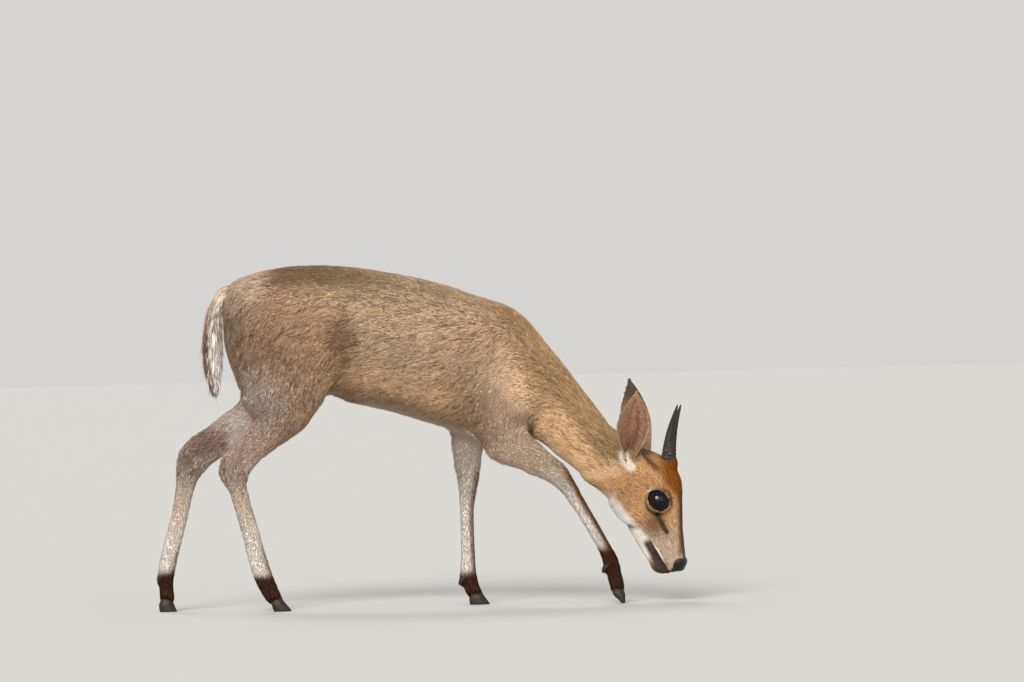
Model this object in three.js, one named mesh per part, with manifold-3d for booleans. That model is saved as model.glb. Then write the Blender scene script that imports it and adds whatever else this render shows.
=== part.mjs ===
// A life-size common duiker ram, a small grey antelope, stepping forward with its head lowered to the ground.
// Millimetres. +X is the way the animal walks, +Y its left side, +Z up, and the floor is at z = 0.
// The origin is on the floor, under the middle of the whole animal.
// The body is one implicit surface: tubes of flesh that blend into each other. Each node is a mesh of that
// surface over its own grid, parted from its neighbours by thin cuts.

import * as THREE from "three";
import { mergeVertices } from "three/addons/utils/BufferGeometryUtils.js";
import Module from "manifold-3d";

const wasm = await Module();
wasm.setup();

// Driving dimensions

const GAP = 0.3; // clear space between two nodes that touch
const HEAD_YAW = -9; // degrees that the head turns to the animal's right
const HEAD_PIVOT = [305, 0, 215]; // the joint of skull and neck
const EYE_RADIUS = 21;
const EYE_CENTRE = [362.8, 22, 151.3]; // in the head's own upright frame, left side
const EYE_LONG = 17.2; // half length of the opening between the lids
const EYE_SHORT = 12.6; // half height of that opening
const EYE_SLANT = -47; // degrees of the opening's long axis from +X, seen from the side
const LID_RADIUS = 2.2;
const HORN_BASE = [377, 13, 208];
const HORN_TIP = [395.5, 20, 294];
const HORN_BASE_RADIUS = 10.4;
const HORN_TIP_RADIUS = 0.9;
// The foot and the tip of each ear, and the way that its cup opens.
const EARS = {
  right: { side: -1, root: [322.5, -36, 214], tip: [342, -74, 317], open: [0.25, -1, 0.1] },
  left: { side: 1, root: [338, 36, 213], tip: [314, 47, 333], open: [-0.7, 1, 0.1] },
};
const EAR_THICKNESS = 2.4;
const CLAW_WIDTH = 10.5;
const CLAW_SPREAD = 5.9; // from the middle of the foot to the middle of one claw

// Stations. Each row is one section across a limb, as seen from the side: the x and z of its front or upper
// edge, the x and z of its rear or lower edge, the y of its middle, its half width, and the share of the way
// from the second edge to the first at which it is widest.

const TORSO = [
  [-273, 494, -262, 352, 0, 44, 0.55],
  [-245, 504, -246, 342, 0, 57, 0.55],
  [-205, 513, -208, 340, 0, 66, 0.55],
  [-160, 518, -164, 335, 0, 69, 0.55],
  [-109, 519, -117, 319, 0, 67, 0.52],
  [-49, 511, -57, 297, 0, 71, 0.48],
  [11, 496, -1, 282, 0, 73, 0.46],
  [55, 479, 44, 268, 0, 68, 0.46],
  [100, 462, 89, 258, 0, 57, 0.47],
  [132, 455, 130, 262, 0, 46, 0.47],
  [152, 433, 148, 272, 0, 38, 0.5],
];
const NECK = [
  [158, 434, 78, 300, 0, 44, 0.5],
  [189, 402, 98, 290, 0, 42, 0.5],
  [216, 371, 122, 279, 0, 39.5, 0.5],
  [239, 340, 151, 262, 0, 37, 0.52],
  [261, 310, 180, 247, 0, 35, 0.54],
  [280, 283, 207, 224, 0, 33, 0.55],
  [297, 260, 232, 202, 0, 32.5, 0.55],
  [314, 244, 252, 183, 0, 33.5, 0.56],
];
const SKULL = [
  [306, 246, 248, 188, 0, 30, 0.57],
  [332, 232, 262, 172, 0, 34, 0.58],
  [365, 216, 275, 155, 0, 36, 0.6],
  [389, 198, 288, 140, 0, 36, 0.62],
  [394, 167, 300, 124, 0, 34, 0.62],
  [395.5, 141, 311, 107, 0, 30, 0.58],
  [395.5, 119, 322, 92, 0, 25, 0.54],
  [396, 102, 332, 79, 0, 22, 0.5],
  [396.5, 88, 340, 67, 0, 20, 0.5],
  [398, 75, 346, 57, 0, 18.5, 0.5],
  [398, 64, 354, 50, 0, 16.5, 0.5],
  [395, 51, 357.5, 44.5, 0, 14, 0.5],
];
const HIND_RIGHT = [
  [-150, 430, -246, 425, -34, 28, 0.5],
  [-127, 372, -272, 380, -38, 32, 0.5],
  [-131, 327, -264, 338, -42, 31, 0.45],
  [-154, 289, -238, 315, -44, 25, 0.5],
  [-190, 255, -233, 296, -45, 19, 0.5],
  [-221, 233, -259, 269, -46, 15, 0.5],
  [-236, 218, -279, 248, -46, 12.5, 0.5],
  [-249, 199, -296, 232, -46, 11.5, 0.5],
  [-251, 178, -287, 199, -46, 10.5, 0.5],
  [-247, 159, -277, 163, -45.5, 9.4, 0.5],
  [-240, 132, -270, 135, -44.5, 9, 0.5],
  [-233, 106, -263, 107, -43.5, 9, 0.5],
  [-227, 83, -257, 81, -42.5, 9.6, 0.5],
  [-220, 58, -248, 49, -41.5, 11.5, 0.5],
  [-211, 35, -237, 27, -41, 10.2, 0.5],
  [-203, 14, -225, 10, -40.5, 10.4, 0.5],
];
const HIND_LEFT = [
  [-150, 430, -246, 425, 34, 28, 0.5],
  [-140, 372, -272, 378, 38, 32, 0.5],
  [-168, 310, -265, 328, 41, 30, 0.45],
  [-217, 272, -272, 312, 43, 22, 0.5],
  [-262, 246, -294, 296, 44, 16, 0.5],
  [-297, 227, -320, 278, 44, 12.8, 0.5],
  [-314, 214, -340, 266, 44, 12, 0.5],
  [-322, 202, -354, 255, 44, 11.5, 0.5],
  [-331, 190, -361, 229, 43.5, 10.6, 0.5],
  [-339, 174, -365, 197, 43, 9.6, 0.5],
  [-344, 155, -371, 162, 42.5, 9, 0.5],
  [-352, 124, -379, 129, 42, 9, 0.5],
  [-361, 92, -389, 95, 41, 9.4, 0.5],
  [-368, 66, -397, 59, 40.5, 11.4, 0.5],
  [-372, 44, -396, 40, 40, 10.2, 0.5],
  [-370, 14, -393, 13, 40, 10.4, 0.5],
];
const FORE_RIGHT = [
  [112, 420, 62, 400, -30, 20, 0.5],
  [158, 350, 76, 342, -32, 22, 0.5],
  [167, 300, 78, 286, -35, 22, 0.5],
  [159, 267, 100, 232, -37, 20, 0.5],
  [178, 251, 136, 212, -38, 17.5, 0.5],
  [199, 228, 168, 195, -38.5, 14.5, 0.5],
  [217, 214, 193, 183, -39, 13, 0.5],
  [231, 194, 209, 170, -39, 12.5, 0.5],
  [241, 172, 221, 157, -39, 10.4, 0.5],
  [257, 143, 238, 131, -39, 8.8, 0.5],
  [272, 116, 252, 106, -38.5, 8.6, 0.5],
  [286, 89, 266, 81, -38, 9, 0.5],
  [298, 66, 273, 60, -37.5, 10.8, 0.5],
  [302, 47, 278, 43, -37, 10, 0.5],
  [305, 31, 282, 28, -37, 10.2, 0.5],
  [306, 18, 285, 18, -37, 10.2, 0.5],
];
const FORE_LEFT = [
  [112, 420, 50, 400, 30, 20, 0.5],
  [128, 350, 52, 342, 32, 22, 0.5],
  [124, 300, 50, 286, 35, 21, 0.5],
  [104, 248, 50, 250, 37, 18, 0.5],
  [98, 220, 53, 222, 38, 15, 0.5],
  [95, 199, 56, 200, 38.5, 13, 0.5],
  [91, 178, 58, 178, 39, 12.2, 0.5],
  [85, 158, 60, 158, 39, 10, 0.5],
  [83, 130, 61, 130, 38.5, 8.7, 0.5],
  [83, 95, 61, 95, 38, 8.6, 0.5],
  [84, 68, 60, 69, 37.5, 9.2, 0.5],
  [85, 47, 58, 44, 37, 10.8, 0.5],
  [89, 28, 64, 24, 37, 10, 0.5],
  [95, 13, 73, 10, 37, 10.2, 0.5],
];

// Flesh that stands out of the tubes: its middle, its radii along x, y and z, and the blend into the rest.
const SHEATH = { at: [-98, 0, 303], radii: [17, 8, 9], blend: 12 };
const CHEEK = { at: [325, 23, 141], radii: [26, 13, 26], blend: 12 };
const ORBIT = { at: [362.8, 19, 151.3], radii: [24, 22, 22], blend: 8 };
const CROWN = { at: [376, 12, 204], radii: [13.5, 13, 13.5], blend: 8 };
const EAR_BUTT = { at: [326, 33, 210], radii: [19, 13, 21], blend: 10 };
const CHIN = { at: [360, 0, 54], radii: [11, 12, 9], blend: 8 };
const NOSTRIL_WING = { at: [388, 9, 60], radii: [11, 8, 11], blend: 6 };
const LEG_BLEND = 26;
const NECK_BLEND = 34;
const HEAD_BLEND = 22;
const SUBDIVISIONS = 4; // short pieces between two stations

// Shape functions

const radians = THREE.MathUtils.degToRad;
const mirrored = ([x, y, z]) => [x, -y, z];

// The lower of two distances, rounded over k where they meet.
function blend(a, b, k) {
  const h = Math.max(k - Math.abs(a - b), 0) / k;
  return Math.min(a, b) - h * h * k * 0.25;
}

function catmullRom(p0, p1, p2, p3, t) {
  const a = 2 * p1;
  const b = p2 - p0;
  const c = 2 * p0 - 5 * p1 + 4 * p2 - p3;
  const d = 3 * p1 - p0 - 3 * p2 + p3;
  return 0.5 * (a + b * t + c * t * t + d * t * t * t);
}

// Stations as smooth samples of middle, edge radii and half width. The edge radii are taken square to the
// way that the middle line runs.
function samplesOf(stations) {
  const middles = stations.map(([ax, az, bx, bz, , , level]) => [bx + (ax - bx) * level, bz + (az - bz) * level]);
  const rows = stations.map(([ax, az, bx, bz, y, side], i) => {
    const [x, z] = middles[i];
    const [x0, z0] = middles[Math.max(i - 1, 0)];
    const [x1, z1] = middles[Math.min(i + 1, middles.length - 1)];
    const square = (px, pz) => Math.abs((px - x) * (z1 - z0) - (pz - z) * (x1 - x0)) / Math.hypot(x1 - x0, z1 - z0);
    return [x, y, z, square(ax, az), square(bx, bz), side];
  });
  const samples = [];
  for (let i = 0; i < rows.length - 1; i++) {
    const around = [rows[Math.max(i - 1, 0)], rows[i], rows[i + 1], rows[Math.min(i + 2, rows.length - 1)]];
    for (let s = 0; s < SUBDIVISIONS; s++) {
      const t = s / SUBDIVISIONS;
      samples.push(rows[i].map((_, k) => catmullRom(...around.map((r) => r[k]), t)));
    }
  }
  samples.push(rows[rows.length - 1]);
  return samples;
}

// The distance from a point to a tube of flesh. upSign is 1 where the first edge lies to the left of the way
// that the stations run, seen with +X to the right, and cap is how far the ends are rounded out.
function tube(stations, upSign, cap) {
  const s = samplesOf(stations);
  const run = [0];
  for (let i = 1; i < s.length; i++) {
    run.push(run[i - 1] + Math.hypot(s[i][0] - s[i - 1][0], s[i][1] - s[i - 1][1], s[i][2] - s[i - 1][2]));
  }
  const pieces = s.slice(1).map((b, i) => {
    const a = s[i];
    const d = [b[0] - a[0], b[1] - a[1], b[2] - a[2]];
    const flat = Math.hypot(d[0], d[2]);
    return {
      a,
      b,
      d,
      length2: d[0] * d[0] + d[1] * d[1] + d[2] * d[2],
      tx: d[0] / flat,
      tz: d[2] / flat,
      capA: cap + run[i],
      capB: cap + run[s.length - 1] - run[i + 1],
    };
  });
  return (x, y, z) => {
    let best = Infinity;
    for (const { a, b, d, length2, tx, tz, capA, capB } of pieces) {
      const along = ((x - a[0]) * d[0] + (y - a[1]) * d[1] + (z - a[2]) * d[2]) / length2;
      const t = Math.min(Math.max(along, 0), 1);
      const qx = x - (a[0] + d[0] * t);
      const qy = y - (a[1] + d[1] * t);
      const qz = z - (a[2] + d[2] * t);
      const n = upSign * (qz * tx - qx * tz);
      const first = a[3] + (b[3] - a[3]) * t;
      const second = a[4] + (b[4] - a[4]) * t;
      const edge = n > 0 ? first : second;
      const side = a[5] + (b[5] - a[5]) * t;
      const past = qx * tx + qz * tz;
      const end = Math.min(first, second, along < 0 ? capA : capB);
      const size = Math.hypot(n, qy, past);
      const ratio = Math.sqrt((n / edge) ** 2 + (qy / side) ** 2 + (past / end) ** 2);
      const far = ratio < 1e-9 ? -Math.min(edge, side) : size * (1 - 1 / ratio);
      if (far < best) best = far;
    }
    return best;
  };
}

function ellipsoid([cx, cy, cz], [rx, ry, rz]) {
  return (x, y, z) => {
    const size = Math.hypot(x - cx, y - cy, z - cz);
    const ratio = Math.hypot((x - cx) / rx, (y - cy) / ry, (z - cz) / rz);
    return ratio < 1e-9 ? -Math.min(rx, ry, rz) : size * (1 - 1 / ratio);
  };
}

// A swelling on both sides of the head at once.
function paired({ at, radii, blend: k }) {
  const one = ellipsoid(at, radii);
  return { k, far: (x, y, z) => one(x, Math.abs(y), z) };
}

const torsoTube = tube(TORSO, 1, 20);
const neckTube = tube(NECK, 1, 30);
const skullTube = tube(SKULL, 1, 4);
const legTubes = {
  hind_right: tube(HIND_RIGHT, 1, 8),
  hind_left: tube(HIND_LEFT, 1, 8),
  fore_right: tube(FORE_RIGHT, 1, 8),
  fore_left: tube(FORE_LEFT, 1, 8),
};
const sheath = ellipsoid(SHEATH.at, SHEATH.radii);
const headSwellings = [CHEEK, ORBIT, CROWN, EAR_BUTT, CHIN, NOSTRIL_WING].map(paired);

const yaw = radians(HEAD_YAW);
const toHead = new THREE.Matrix4()
  .makeTranslation(...HEAD_PIVOT)
  .multiply(new THREE.Matrix4().makeRotationZ(yaw))
  .multiply(new THREE.Matrix4().makeTranslation(...HEAD_PIVOT.map((v) => -v)));

function headUpright(x, y, z) {
  let far = skullTube(x, y, z);
  for (const s of headSwellings) far = blend(far, s.far(x, y, z), s.k);
  return far;
}

// The head turned by its yaw about the upright line through its pivot.
function headTurned(x, y, z) {
  const dx = x - HEAD_PIVOT[0];
  const dy = y - HEAD_PIVOT[1];
  const cos = Math.cos(yaw);
  const sin = Math.sin(yaw);
  return headUpright(HEAD_PIVOT[0] + dx * cos + dy * sin, HEAD_PIVOT[1] - dx * sin + dy * cos, z);
}

const trunk = (x, y, z) => blend(torsoTube(x, y, z), sheath(x, y, z), SHEATH.blend);
const trunkAndNeck = (x, y, z) => blend(trunk(x, y, z), neckTube(x, y, z), NECK_BLEND);
const neckAndHead = (x, y, z) => blend(trunkAndNeck(x, y, z), headTurned(x, y, z), HEAD_BLEND);

function wholeBody(x, y, z) {
  let far = trunkAndNeck(x, y, z);
  for (const leg of Object.values(legTubes)) far = blend(far, leg(x, y, z), LEG_BLEND);
  return far;
}

const trunkAndLeg = (name) => (x, y, z) => blend(trunk(x, y, z), legTubes[name](x, y, z), LEG_BLEND);

// Meshes of an implicit surface

// A grid box: its middle, the degrees that it is turned about y, its half sizes and its cell sizes.
function gridBox(middle, turn, half, cell) {
  const axisX = new THREE.Vector3(Math.cos(radians(turn)), 0, Math.sin(radians(turn)));
  const axisZ = new THREE.Vector3(-axisX.z, 0, axisX.x);
  const origin = new THREE.Vector3(...middle);
  const steps = half.map((h, i) => Math.ceil((2 * h) / cell[i]));
  const at = (i, j, k) =>
    origin
      .clone()
      .addScaledVector(axisX, -half[0] + i * cell[0])
      .add(new THREE.Vector3(0, -half[1] + j * cell[1], 0))
      .addScaledVector(axisZ, -half[2] + k * cell[2]);
  return { at, steps, reach: Math.max(...cell) };
}

function slopeAt(far, p) {
  const h = 0.4;
  return new THREE.Vector3(
    far(p.x + h, p.y, p.z) - far(p.x - h, p.y, p.z),
    far(p.x, p.y + h, p.z) - far(p.x, p.y - h, p.z),
    far(p.x, p.y, p.z + h) - far(p.x, p.y, p.z - h),
  ).divideScalar(2 * h);
}

// Where the corners of a grid square are inside and outside crosswise, the outside one nearer the surface is
// taken as inside, so that no edge of the mesh is shared by four faces.
function untangle(values, [nx, ny, nz], id) {
  const squares = [
    [[1, 0, 0], [0, 1, 0]],
    [[1, 0, 0], [0, 0, 1]],
    [[0, 1, 0], [0, 0, 1]],
  ];
  let changed = true;
  while (changed) {
    changed = false;
    for (let i = 0; i < nx; i++)
      for (let j = 0; j < ny; j++)
        for (let k = 0; k < nz; k++)
          for (const [u, v] of squares) {
            const ring = [
              id(i, j, k),
              id(i + u[0], j + u[1], k + u[2]),
              id(i + u[0] + v[0], j + u[1] + v[1], k + u[2] + v[2]),
              id(i + v[0], j + v[1], k + v[2]),
            ];
            const [a, b, c, d] = ring.map((n) => values[n] < 0);
            if (a !== c || b !== d || a === b) continue;
            const [one, other] = ring.filter((n) => values[n] >= 0);
            values[values[one] < values[other] ? one : other] = -1e-4;
            changed = true;
          }
  }
}

// Surface nets: one vertex in each cell that the surface crosses, moved on to the surface, and one face
// across each grid edge that it crosses. The grid's outermost points count as outside, which closes the mesh.
function netOf(far, box) {
  const [nx, ny, nz] = box.steps;
  const id = (i, j, k) => (i * (ny + 1) + j) * (nz + 1) + k;
  const points = [];
  const values = new Float64Array((nx + 1) * (ny + 1) * (nz + 1));
  for (let i = 0; i <= nx; i++)
    for (let j = 0; j <= ny; j++)
      for (let k = 0; k <= nz; k++) {
        const p = box.at(i, j, k);
        const edge = i === 0 || j === 0 || k === 0 || i === nx || j === ny || k === nz;
        const v = far(p.x, p.y, p.z);
        points.push(p);
        values[id(i, j, k)] = edge ? Math.max(v, 60) : Math.abs(v) < 1e-4 ? 1e-4 : v;
      }
  untangle(values, box.steps, id);
  const corners = [0, 1, 2, 3, 4, 5, 6, 7].map((c) => [c & 1, (c >> 1) & 1, (c >> 2) & 1]);
  const vertexOf = new Map();
  const vertices = [];
  for (let i = 0; i < nx; i++)
    for (let j = 0; j < ny; j++)
      for (let k = 0; k < nz; k++) {
        const ids = corners.map(([a, b, c]) => id(i + a, j + b, k + c));
        const inside = ids.filter((n) => values[n] < 0).length;
        if (inside === 0 || inside === 8) continue;
        const sum = new THREE.Vector3();
        let crossings = 0;
        for (let a = 0; a < 8; a++)
          for (const bit of [1, 2, 4]) {
            const b = a | bit;
            if (b === a || values[ids[a]] < 0 === values[ids[b]] < 0) continue;
            const t = values[ids[a]] / (values[ids[a]] - values[ids[b]]);
            sum.add(points[ids[a]].clone().lerp(points[ids[b]], t));
            crossings++;
          }
        vertexOf.set(id(i, j, k), vertices.length);
        vertices.push(settled(far, sum.divideScalar(crossings), box.reach));
      }
  const triangles = [];
  const face = (cells, flip) => {
    const [a, b, c, d] = cells.map((n) => vertexOf.get(n));
    const short = vertices[a].distanceTo(vertices[c]) <= vertices[b].distanceTo(vertices[d]);
    const halves = short ? [[a, b, c], [a, c, d]] : [[a, b, d], [b, c, d]];
    for (const t of halves) triangles.push(...(flip ? t : t.reverse()));
  };
  for (let i = 0; i < nx; i++)
    for (let j = 0; j < ny; j++)
      for (let k = 0; k < nz; k++) {
        const here = values[id(i, j, k)] < 0;
        if (j && k && here !== values[id(i + 1, j, k)] < 0)
          face([id(i, j, k), id(i, j - 1, k), id(i, j - 1, k - 1), id(i, j, k - 1)], here);
        if (i && k && here !== values[id(i, j + 1, k)] < 0)
          face([id(i, j, k), id(i, j, k - 1), id(i - 1, j, k - 1), id(i - 1, j, k)], here);
        if (i && j && here !== values[id(i, j, k + 1)] < 0)
          face([id(i, j, k), id(i - 1, j, k), id(i - 1, j - 1, k), id(i, j - 1, k)], here);
      }
  return { vertices, triangles };
}

// A vertex moved along the slope until it lies on the surface, by no more than one cell.
function settled(far, start, reach) {
  const p = start.clone();
  for (let pass = 0; pass < 3; pass++) {
    const slope = slopeAt(far, p);
    const steep = Math.max(slope.lengthSq(), 0.25);
    const step = slope.multiplyScalar(-far(p.x, p.y, p.z) / steep);
    p.add(step.clampLength(0, reach * 0.35));
  }
  return p.distanceTo(start) < reach && Math.abs(far(p.x, p.y, p.z)) < 1 ? p : start;
}

function solidOfNet({ vertices, triangles }) {
  const vertProperties = new Float32Array(vertices.flatMap((v) => [v.x, v.y, v.z]));
  return new wasm.Manifold(new wasm.Mesh({ numProp: 3, vertProperties, triVerts: new Uint32Array(triangles) }));
}

// The same surface pushed out along its slope, for cutting what rests on it.
function swollen(far, net, by) {
  const vertices = net.vertices.map((v) => v.clone().addScaledVector(slopeAt(far, v).normalize(), by));
  return solidOfNet({ vertices, triangles: net.triangles });
}

// Solids and meshes

function solidOf(geometry) {
  const plain = geometry.clone();
  for (const name of ["normal", "uv"]) plain.deleteAttribute(name);
  const merged = mergeVertices(plain, 1e-3);
  return new wasm.Manifold(
    new wasm.Mesh({
      numProp: 3,
      vertProperties: new Float32Array(merged.attributes.position.array),
      triVerts: new Uint32Array(merged.index.array),
    }),
  );
}

// Only the largest closed body of a solid: a scrap that a cut leaves loose is dropped.
function largest(solid) {
  return solid.decompose().reduce((a, b) => (a.volume() > b.volume() ? a : b));
}

function geometryOf(solid) {
  const mesh = solid.getMesh();
  const positions = new Float32Array(mesh.numVert * 3);
  for (let i = 0; i < mesh.numVert; i++) {
    positions.set(mesh.vertProperties.subarray(i * mesh.numProp, i * mesh.numProp + 3), i * 3);
  }
  const geometry = new THREE.BufferGeometry();
  geometry.setAttribute("position", new THREE.BufferAttribute(positions, 3));
  geometry.setIndex(new THREE.BufferAttribute(mesh.triVerts, 1));
  geometry.computeVertexNormals();
  return geometry;
}

// A closed solid through rings of points, each ring the same length, with its ends filled by a fan.
function loft(rings) {
  const count = rings[0].length;
  const vertices = rings.flat();
  const triangles = [];
  for (let r = 0; r < rings.length - 1; r++)
    for (let i = 0; i < count; i++) {
      const a = r * count + i;
      const b = r * count + ((i + 1) % count);
      triangles.push(a, b, b + count, a, b + count, a + count);
    }
  const ends = [
    [0, true],
    [(rings.length - 1) * count, false],
  ];
  for (const [start, first] of ends) {
    const middle = new THREE.Vector3();
    for (let i = 0; i < count; i++) middle.add(vertices[start + i]);
    vertices.push(middle.divideScalar(count));
    for (let i = 0; i < count; i++) {
      const pair = [start + i, start + ((i + 1) % count)];
      triangles.push(...(first ? pair.reverse() : pair), vertices.length - 1);
    }
  }
  const solid = solidOfNet({ vertices, triangles });
  if (solid.volume() > 0) return solid;
  const turned = [];
  for (let i = 0; i < triangles.length; i += 3) turned.push(triangles[i], triangles[i + 2], triangles[i + 1]);
  return solidOfNet({ vertices, triangles: turned });
}

// A round tube of changing radius along points, each [x, y, z, radius].
function rod(points, sides) {
  const line = points.map(([x, y, z]) => new THREE.Vector3(x, y, z));
  return loft(
    line.map((p, i) => {
      const along = line[Math.min(i + 1, line.length - 1)].clone().sub(line[Math.max(i - 1, 0)]).normalize();
      const across = new THREE.Vector3(0, 1, 0.001).cross(along).normalize();
      const other = along.clone().cross(across);
      return Array.from({ length: sides }, (_, s) => {
        const turn = (2 * Math.PI * s) / sides;
        return p
          .clone()
          .addScaledVector(across, points[i][3] * Math.cos(turn))
          .addScaledVector(other, points[i][3] * Math.sin(turn));
      });
    }),
  );
}

// A wedge of space over the outline of a leg seen from the side, from one y to another.
function zone(outline, fromY, toY) {
  const shape = new THREE.Shape(outline.map(([x, z]) => new THREE.Vector2(x, z)));
  const geometry = new THREE.ExtrudeGeometry(shape, { depth: toY - fromY, bevelEnabled: false });
  geometry.rotateX(Math.PI / 2);
  geometry.translate(0, toY, 0);
  return solidOf(geometry);
}

// The half space on the far side of the line from a to b, which are points [x, z] seen from the side. The
// part that is kept lies to the right of that line, at half a gap from it.
function keepRight(solid, a, b) {
  const length = Math.hypot(b[0] - a[0], b[1] - a[1]);
  const nx = (b[1] - a[1]) / length;
  const nz = -(b[0] - a[0]) / length;
  return solid.trimByPlane([nx, 0, nz], nx * a[0] + nz * a[1] + GAP / 2);
}

// Materials

const finish = (color, roughness) => new THREE.MeshStandardMaterial({ color, roughness, metalness: 0 });
const coatGrey = finish(0x8f7a63, 0.9);
const coatHead = finish(0xb48a58, 0.9);
const coatPale = finish(0xd9cfc2, 0.9);
const hornBlack = finish(0x2a2829, 0.55);
const hoofBlack = finish(0x25211f, 0.5);
const earSkin = finish(0xb08a74, 0.8);
const eyeBlack = finish(0x0a0808, 0.05);
const noseBlack = finish(0x151214, 0.35);
const tailWhite = finish(0xcfc8c0, 0.9);

const animal = new THREE.Group();

function addNode(name, solid, material) {
  const mesh = new THREE.Mesh(geometryOf(largest(solid)), material);
  mesh.name = name;
  animal.add(mesh);
}

// Cuts between the nodes, as lines [x, z] to [x, z] seen from the side

const NECK_CUT = [[168, 246], [161, 441]];
const HEAD_CUT = [[265, 167], [304, 251]];
const NOSE_CUT = [[370, 42], [399, 70]];
const HOCK_CUTS = {
  hind_right: [[-250, 184], [-292, 206]],
  hind_left: [[-330, 190], [-362, 216]],
};
const CARPUS_CUTS = {
  fore_right: [[239, 174], [215, 158]],
  fore_left: [[90, 166], [56, 166]],
};
const ROOTS = {
  hind_right: [[-108, 317], [-276, 334]],
  hind_left: [[-108, 317], [-276, 334]],
  fore_right: [[170, 262], [84, 229]],
  fore_left: [[108, 238], [44, 256]],
};
const REACH = 130; // how far a leg's zone runs past its root, to the side
const ZONES = {
  hind_right: [[-108, 317], [-276, 334], [-330, 230], [-330, -20], [-108, -20]],
  hind_left: [[-108, 317], [-276, 334], [-420, 300], [-420, -20], [-108, -20]],
  fore_right: [
    [170, 262], [84, 229], [150, 150], [240, -20], [340, -20], [340, 30], [256, 178], [238, 203], [215, 222],
    [190, 240],
  ],
  fore_left: [[108, 238], [44, 256], [20, -20], [140, -20]],
};

const sideOf = (name) => (name.endsWith("right") ? -1 : 1);

function legZone(name, grow) {
  const inner = sideOf(name) * (3 - grow);
  const outer = sideOf(name) * REACH;
  const [a, b] = ROOTS[name];
  const length = Math.hypot(b[0] - a[0], b[1] - a[1]);
  const up = [(-(b[1] - a[1]) / length) * -grow, ((b[0] - a[0]) / length) * -grow];
  const outline = ZONES[name].map((p, i) => (i < 2 ? [p[0] + up[0], p[1] + up[1]] : p));
  return zone(outline, Math.min(inner, outer), Math.max(inner, outer));
}

// Torso: the trunk with the haunches and shoulders, less the four legs.

const torsoBox = gridBox([-62, 0, 375], 0, [262, 98, 180], [26, 15.5, 16.5]);

function buildTorso() {
  let solid = keepRight(solidOfNet(torsoNet), NECK_CUT[1], NECK_CUT[0]);
  for (const name of Object.keys(ZONES)) solid = solid.subtract(legZone(name, GAP));
  return solid;
}

// Neck: from before the withers to behind the ears and the jaw.

function buildNeck() {
  const box = gridBox([230, 0, 318], -47, [162, 66, 104], [18, 11, 12]);
  const solid = solidOfNet(netOf(neckAndHead, box));
  return keepRight(keepRight(solid, NECK_CUT[0], NECK_CUT[1]), HEAD_CUT[1], HEAD_CUT[0]);
}

// Head

const headBox = gridBox([341, -6, 142], -70, [132, 66, 84], [7.9, 6.7, 7]);
const headNet = netOf(neckAndHead, headBox);

// A point of the head's own upright frame, on the side given, where the turned head has it.
function onHead(point, side) {
  const p = side < 0 ? mirrored(point) : point;
  return new THREE.Vector3(...p).applyMatrix4(toHead);
}

// A solid made in the head's upright frame, turned with the head.
const turned = (solid) => solid.transform(toHead.elements);

const eyeAt = (side) => [EYE_CENTRE[0], side * EYE_CENTRE[1], EYE_CENTRE[2]];

// The way that the eye looks: out to the side, a little forward and down.
const gaze = (side) => new THREE.Vector3(0.2, side, 0.06).normalize();

// The front of an eyeball, grown all round by the amount given.
function eyeball(side, grow) {
  const radius = EYE_RADIUS + grow;
  const back = EYE_RADIUS * 0.25 - grow;
  const start = Math.asin(back / radius);
  const rings = 6;
  const profile = [new THREE.Vector2(0, back)];
  for (let i = 0; i < rings; i++) {
    const turn = start + ((Math.PI / 2 - start) * i) / rings;
    profile.push(new THREE.Vector2(radius * Math.cos(turn), radius * Math.sin(turn)));
  }
  profile.push(new THREE.Vector2(0, radius));
  const geometry = new THREE.LatheGeometry(profile, 18);
  const facing = new THREE.Quaternion().setFromUnitVectors(new THREE.Vector3(0, 1, 0), gaze(side));
  geometry.applyQuaternion(facing).translate(...eyeAt(side));
  return solidOf(geometry);
}

// The edge of the eye's opening as points on a sphere round the eyeball.
function eyeOpening(side, radius, grow, count) {
  const out = gaze(side);
  const slant = radians(EYE_SLANT);
  const long = new THREE.Vector3(Math.cos(slant), 0, Math.sin(slant));
  long.addScaledVector(out, -long.dot(out)).normalize();
  const short = out.clone().cross(long);
  return Array.from({ length: count }, (_, i) => {
    const turn = (2 * Math.PI * i) / count;
    const a = (EYE_LONG + grow) * Math.cos(turn);
    const b = (EYE_SHORT + grow) * Math.sin(turn);
    const depth = Math.sqrt(Math.max(radius * radius - a * a - b * b, 0));
    return new THREE.Vector3(...eyeAt(side))
      .addScaledVector(long, a)
      .addScaledVector(short, b)
      .addScaledVector(out, depth);
  });
}

// Both lids: a round ridge along the edge of the opening.
function lids(side) {
  const line = eyeOpening(side, EYE_RADIUS + 1.4, 2.4, 18);
  const centre = new THREE.Vector3(...eyeAt(side));
  const sides = 6;
  const vertices = [];
  const triangles = [];
  line.forEach((p, i) => {
    const next = (i + 1) % line.length;
    const along = line[next].clone().sub(line[(i + line.length - 1) % line.length]).normalize();
    const out = p.clone().sub(centre).normalize();
    const across = out.clone().cross(along).normalize();
    for (let s = 0; s < sides; s++) {
      const turn = (2 * Math.PI * s) / sides;
      const step = across.clone().multiplyScalar(LID_RADIUS * 1.5 * Math.cos(turn));
      vertices.push(p.clone().add(step).addScaledVector(out, LID_RADIUS * Math.sin(turn)));
      const a = i * sides + s;
      const b = i * sides + ((s + 1) % sides);
      const c = next * sides + ((s + 1) % sides);
      const d = next * sides + s;
      triangles.push(a, b, c, a, c, d);
    }
  });
  const solid = solidOfNet({ vertices, triangles });
  return solid.volume() > 0 ? solid : solidOfNet({ vertices, triangles: triangles.slice().reverse() });
}

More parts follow.
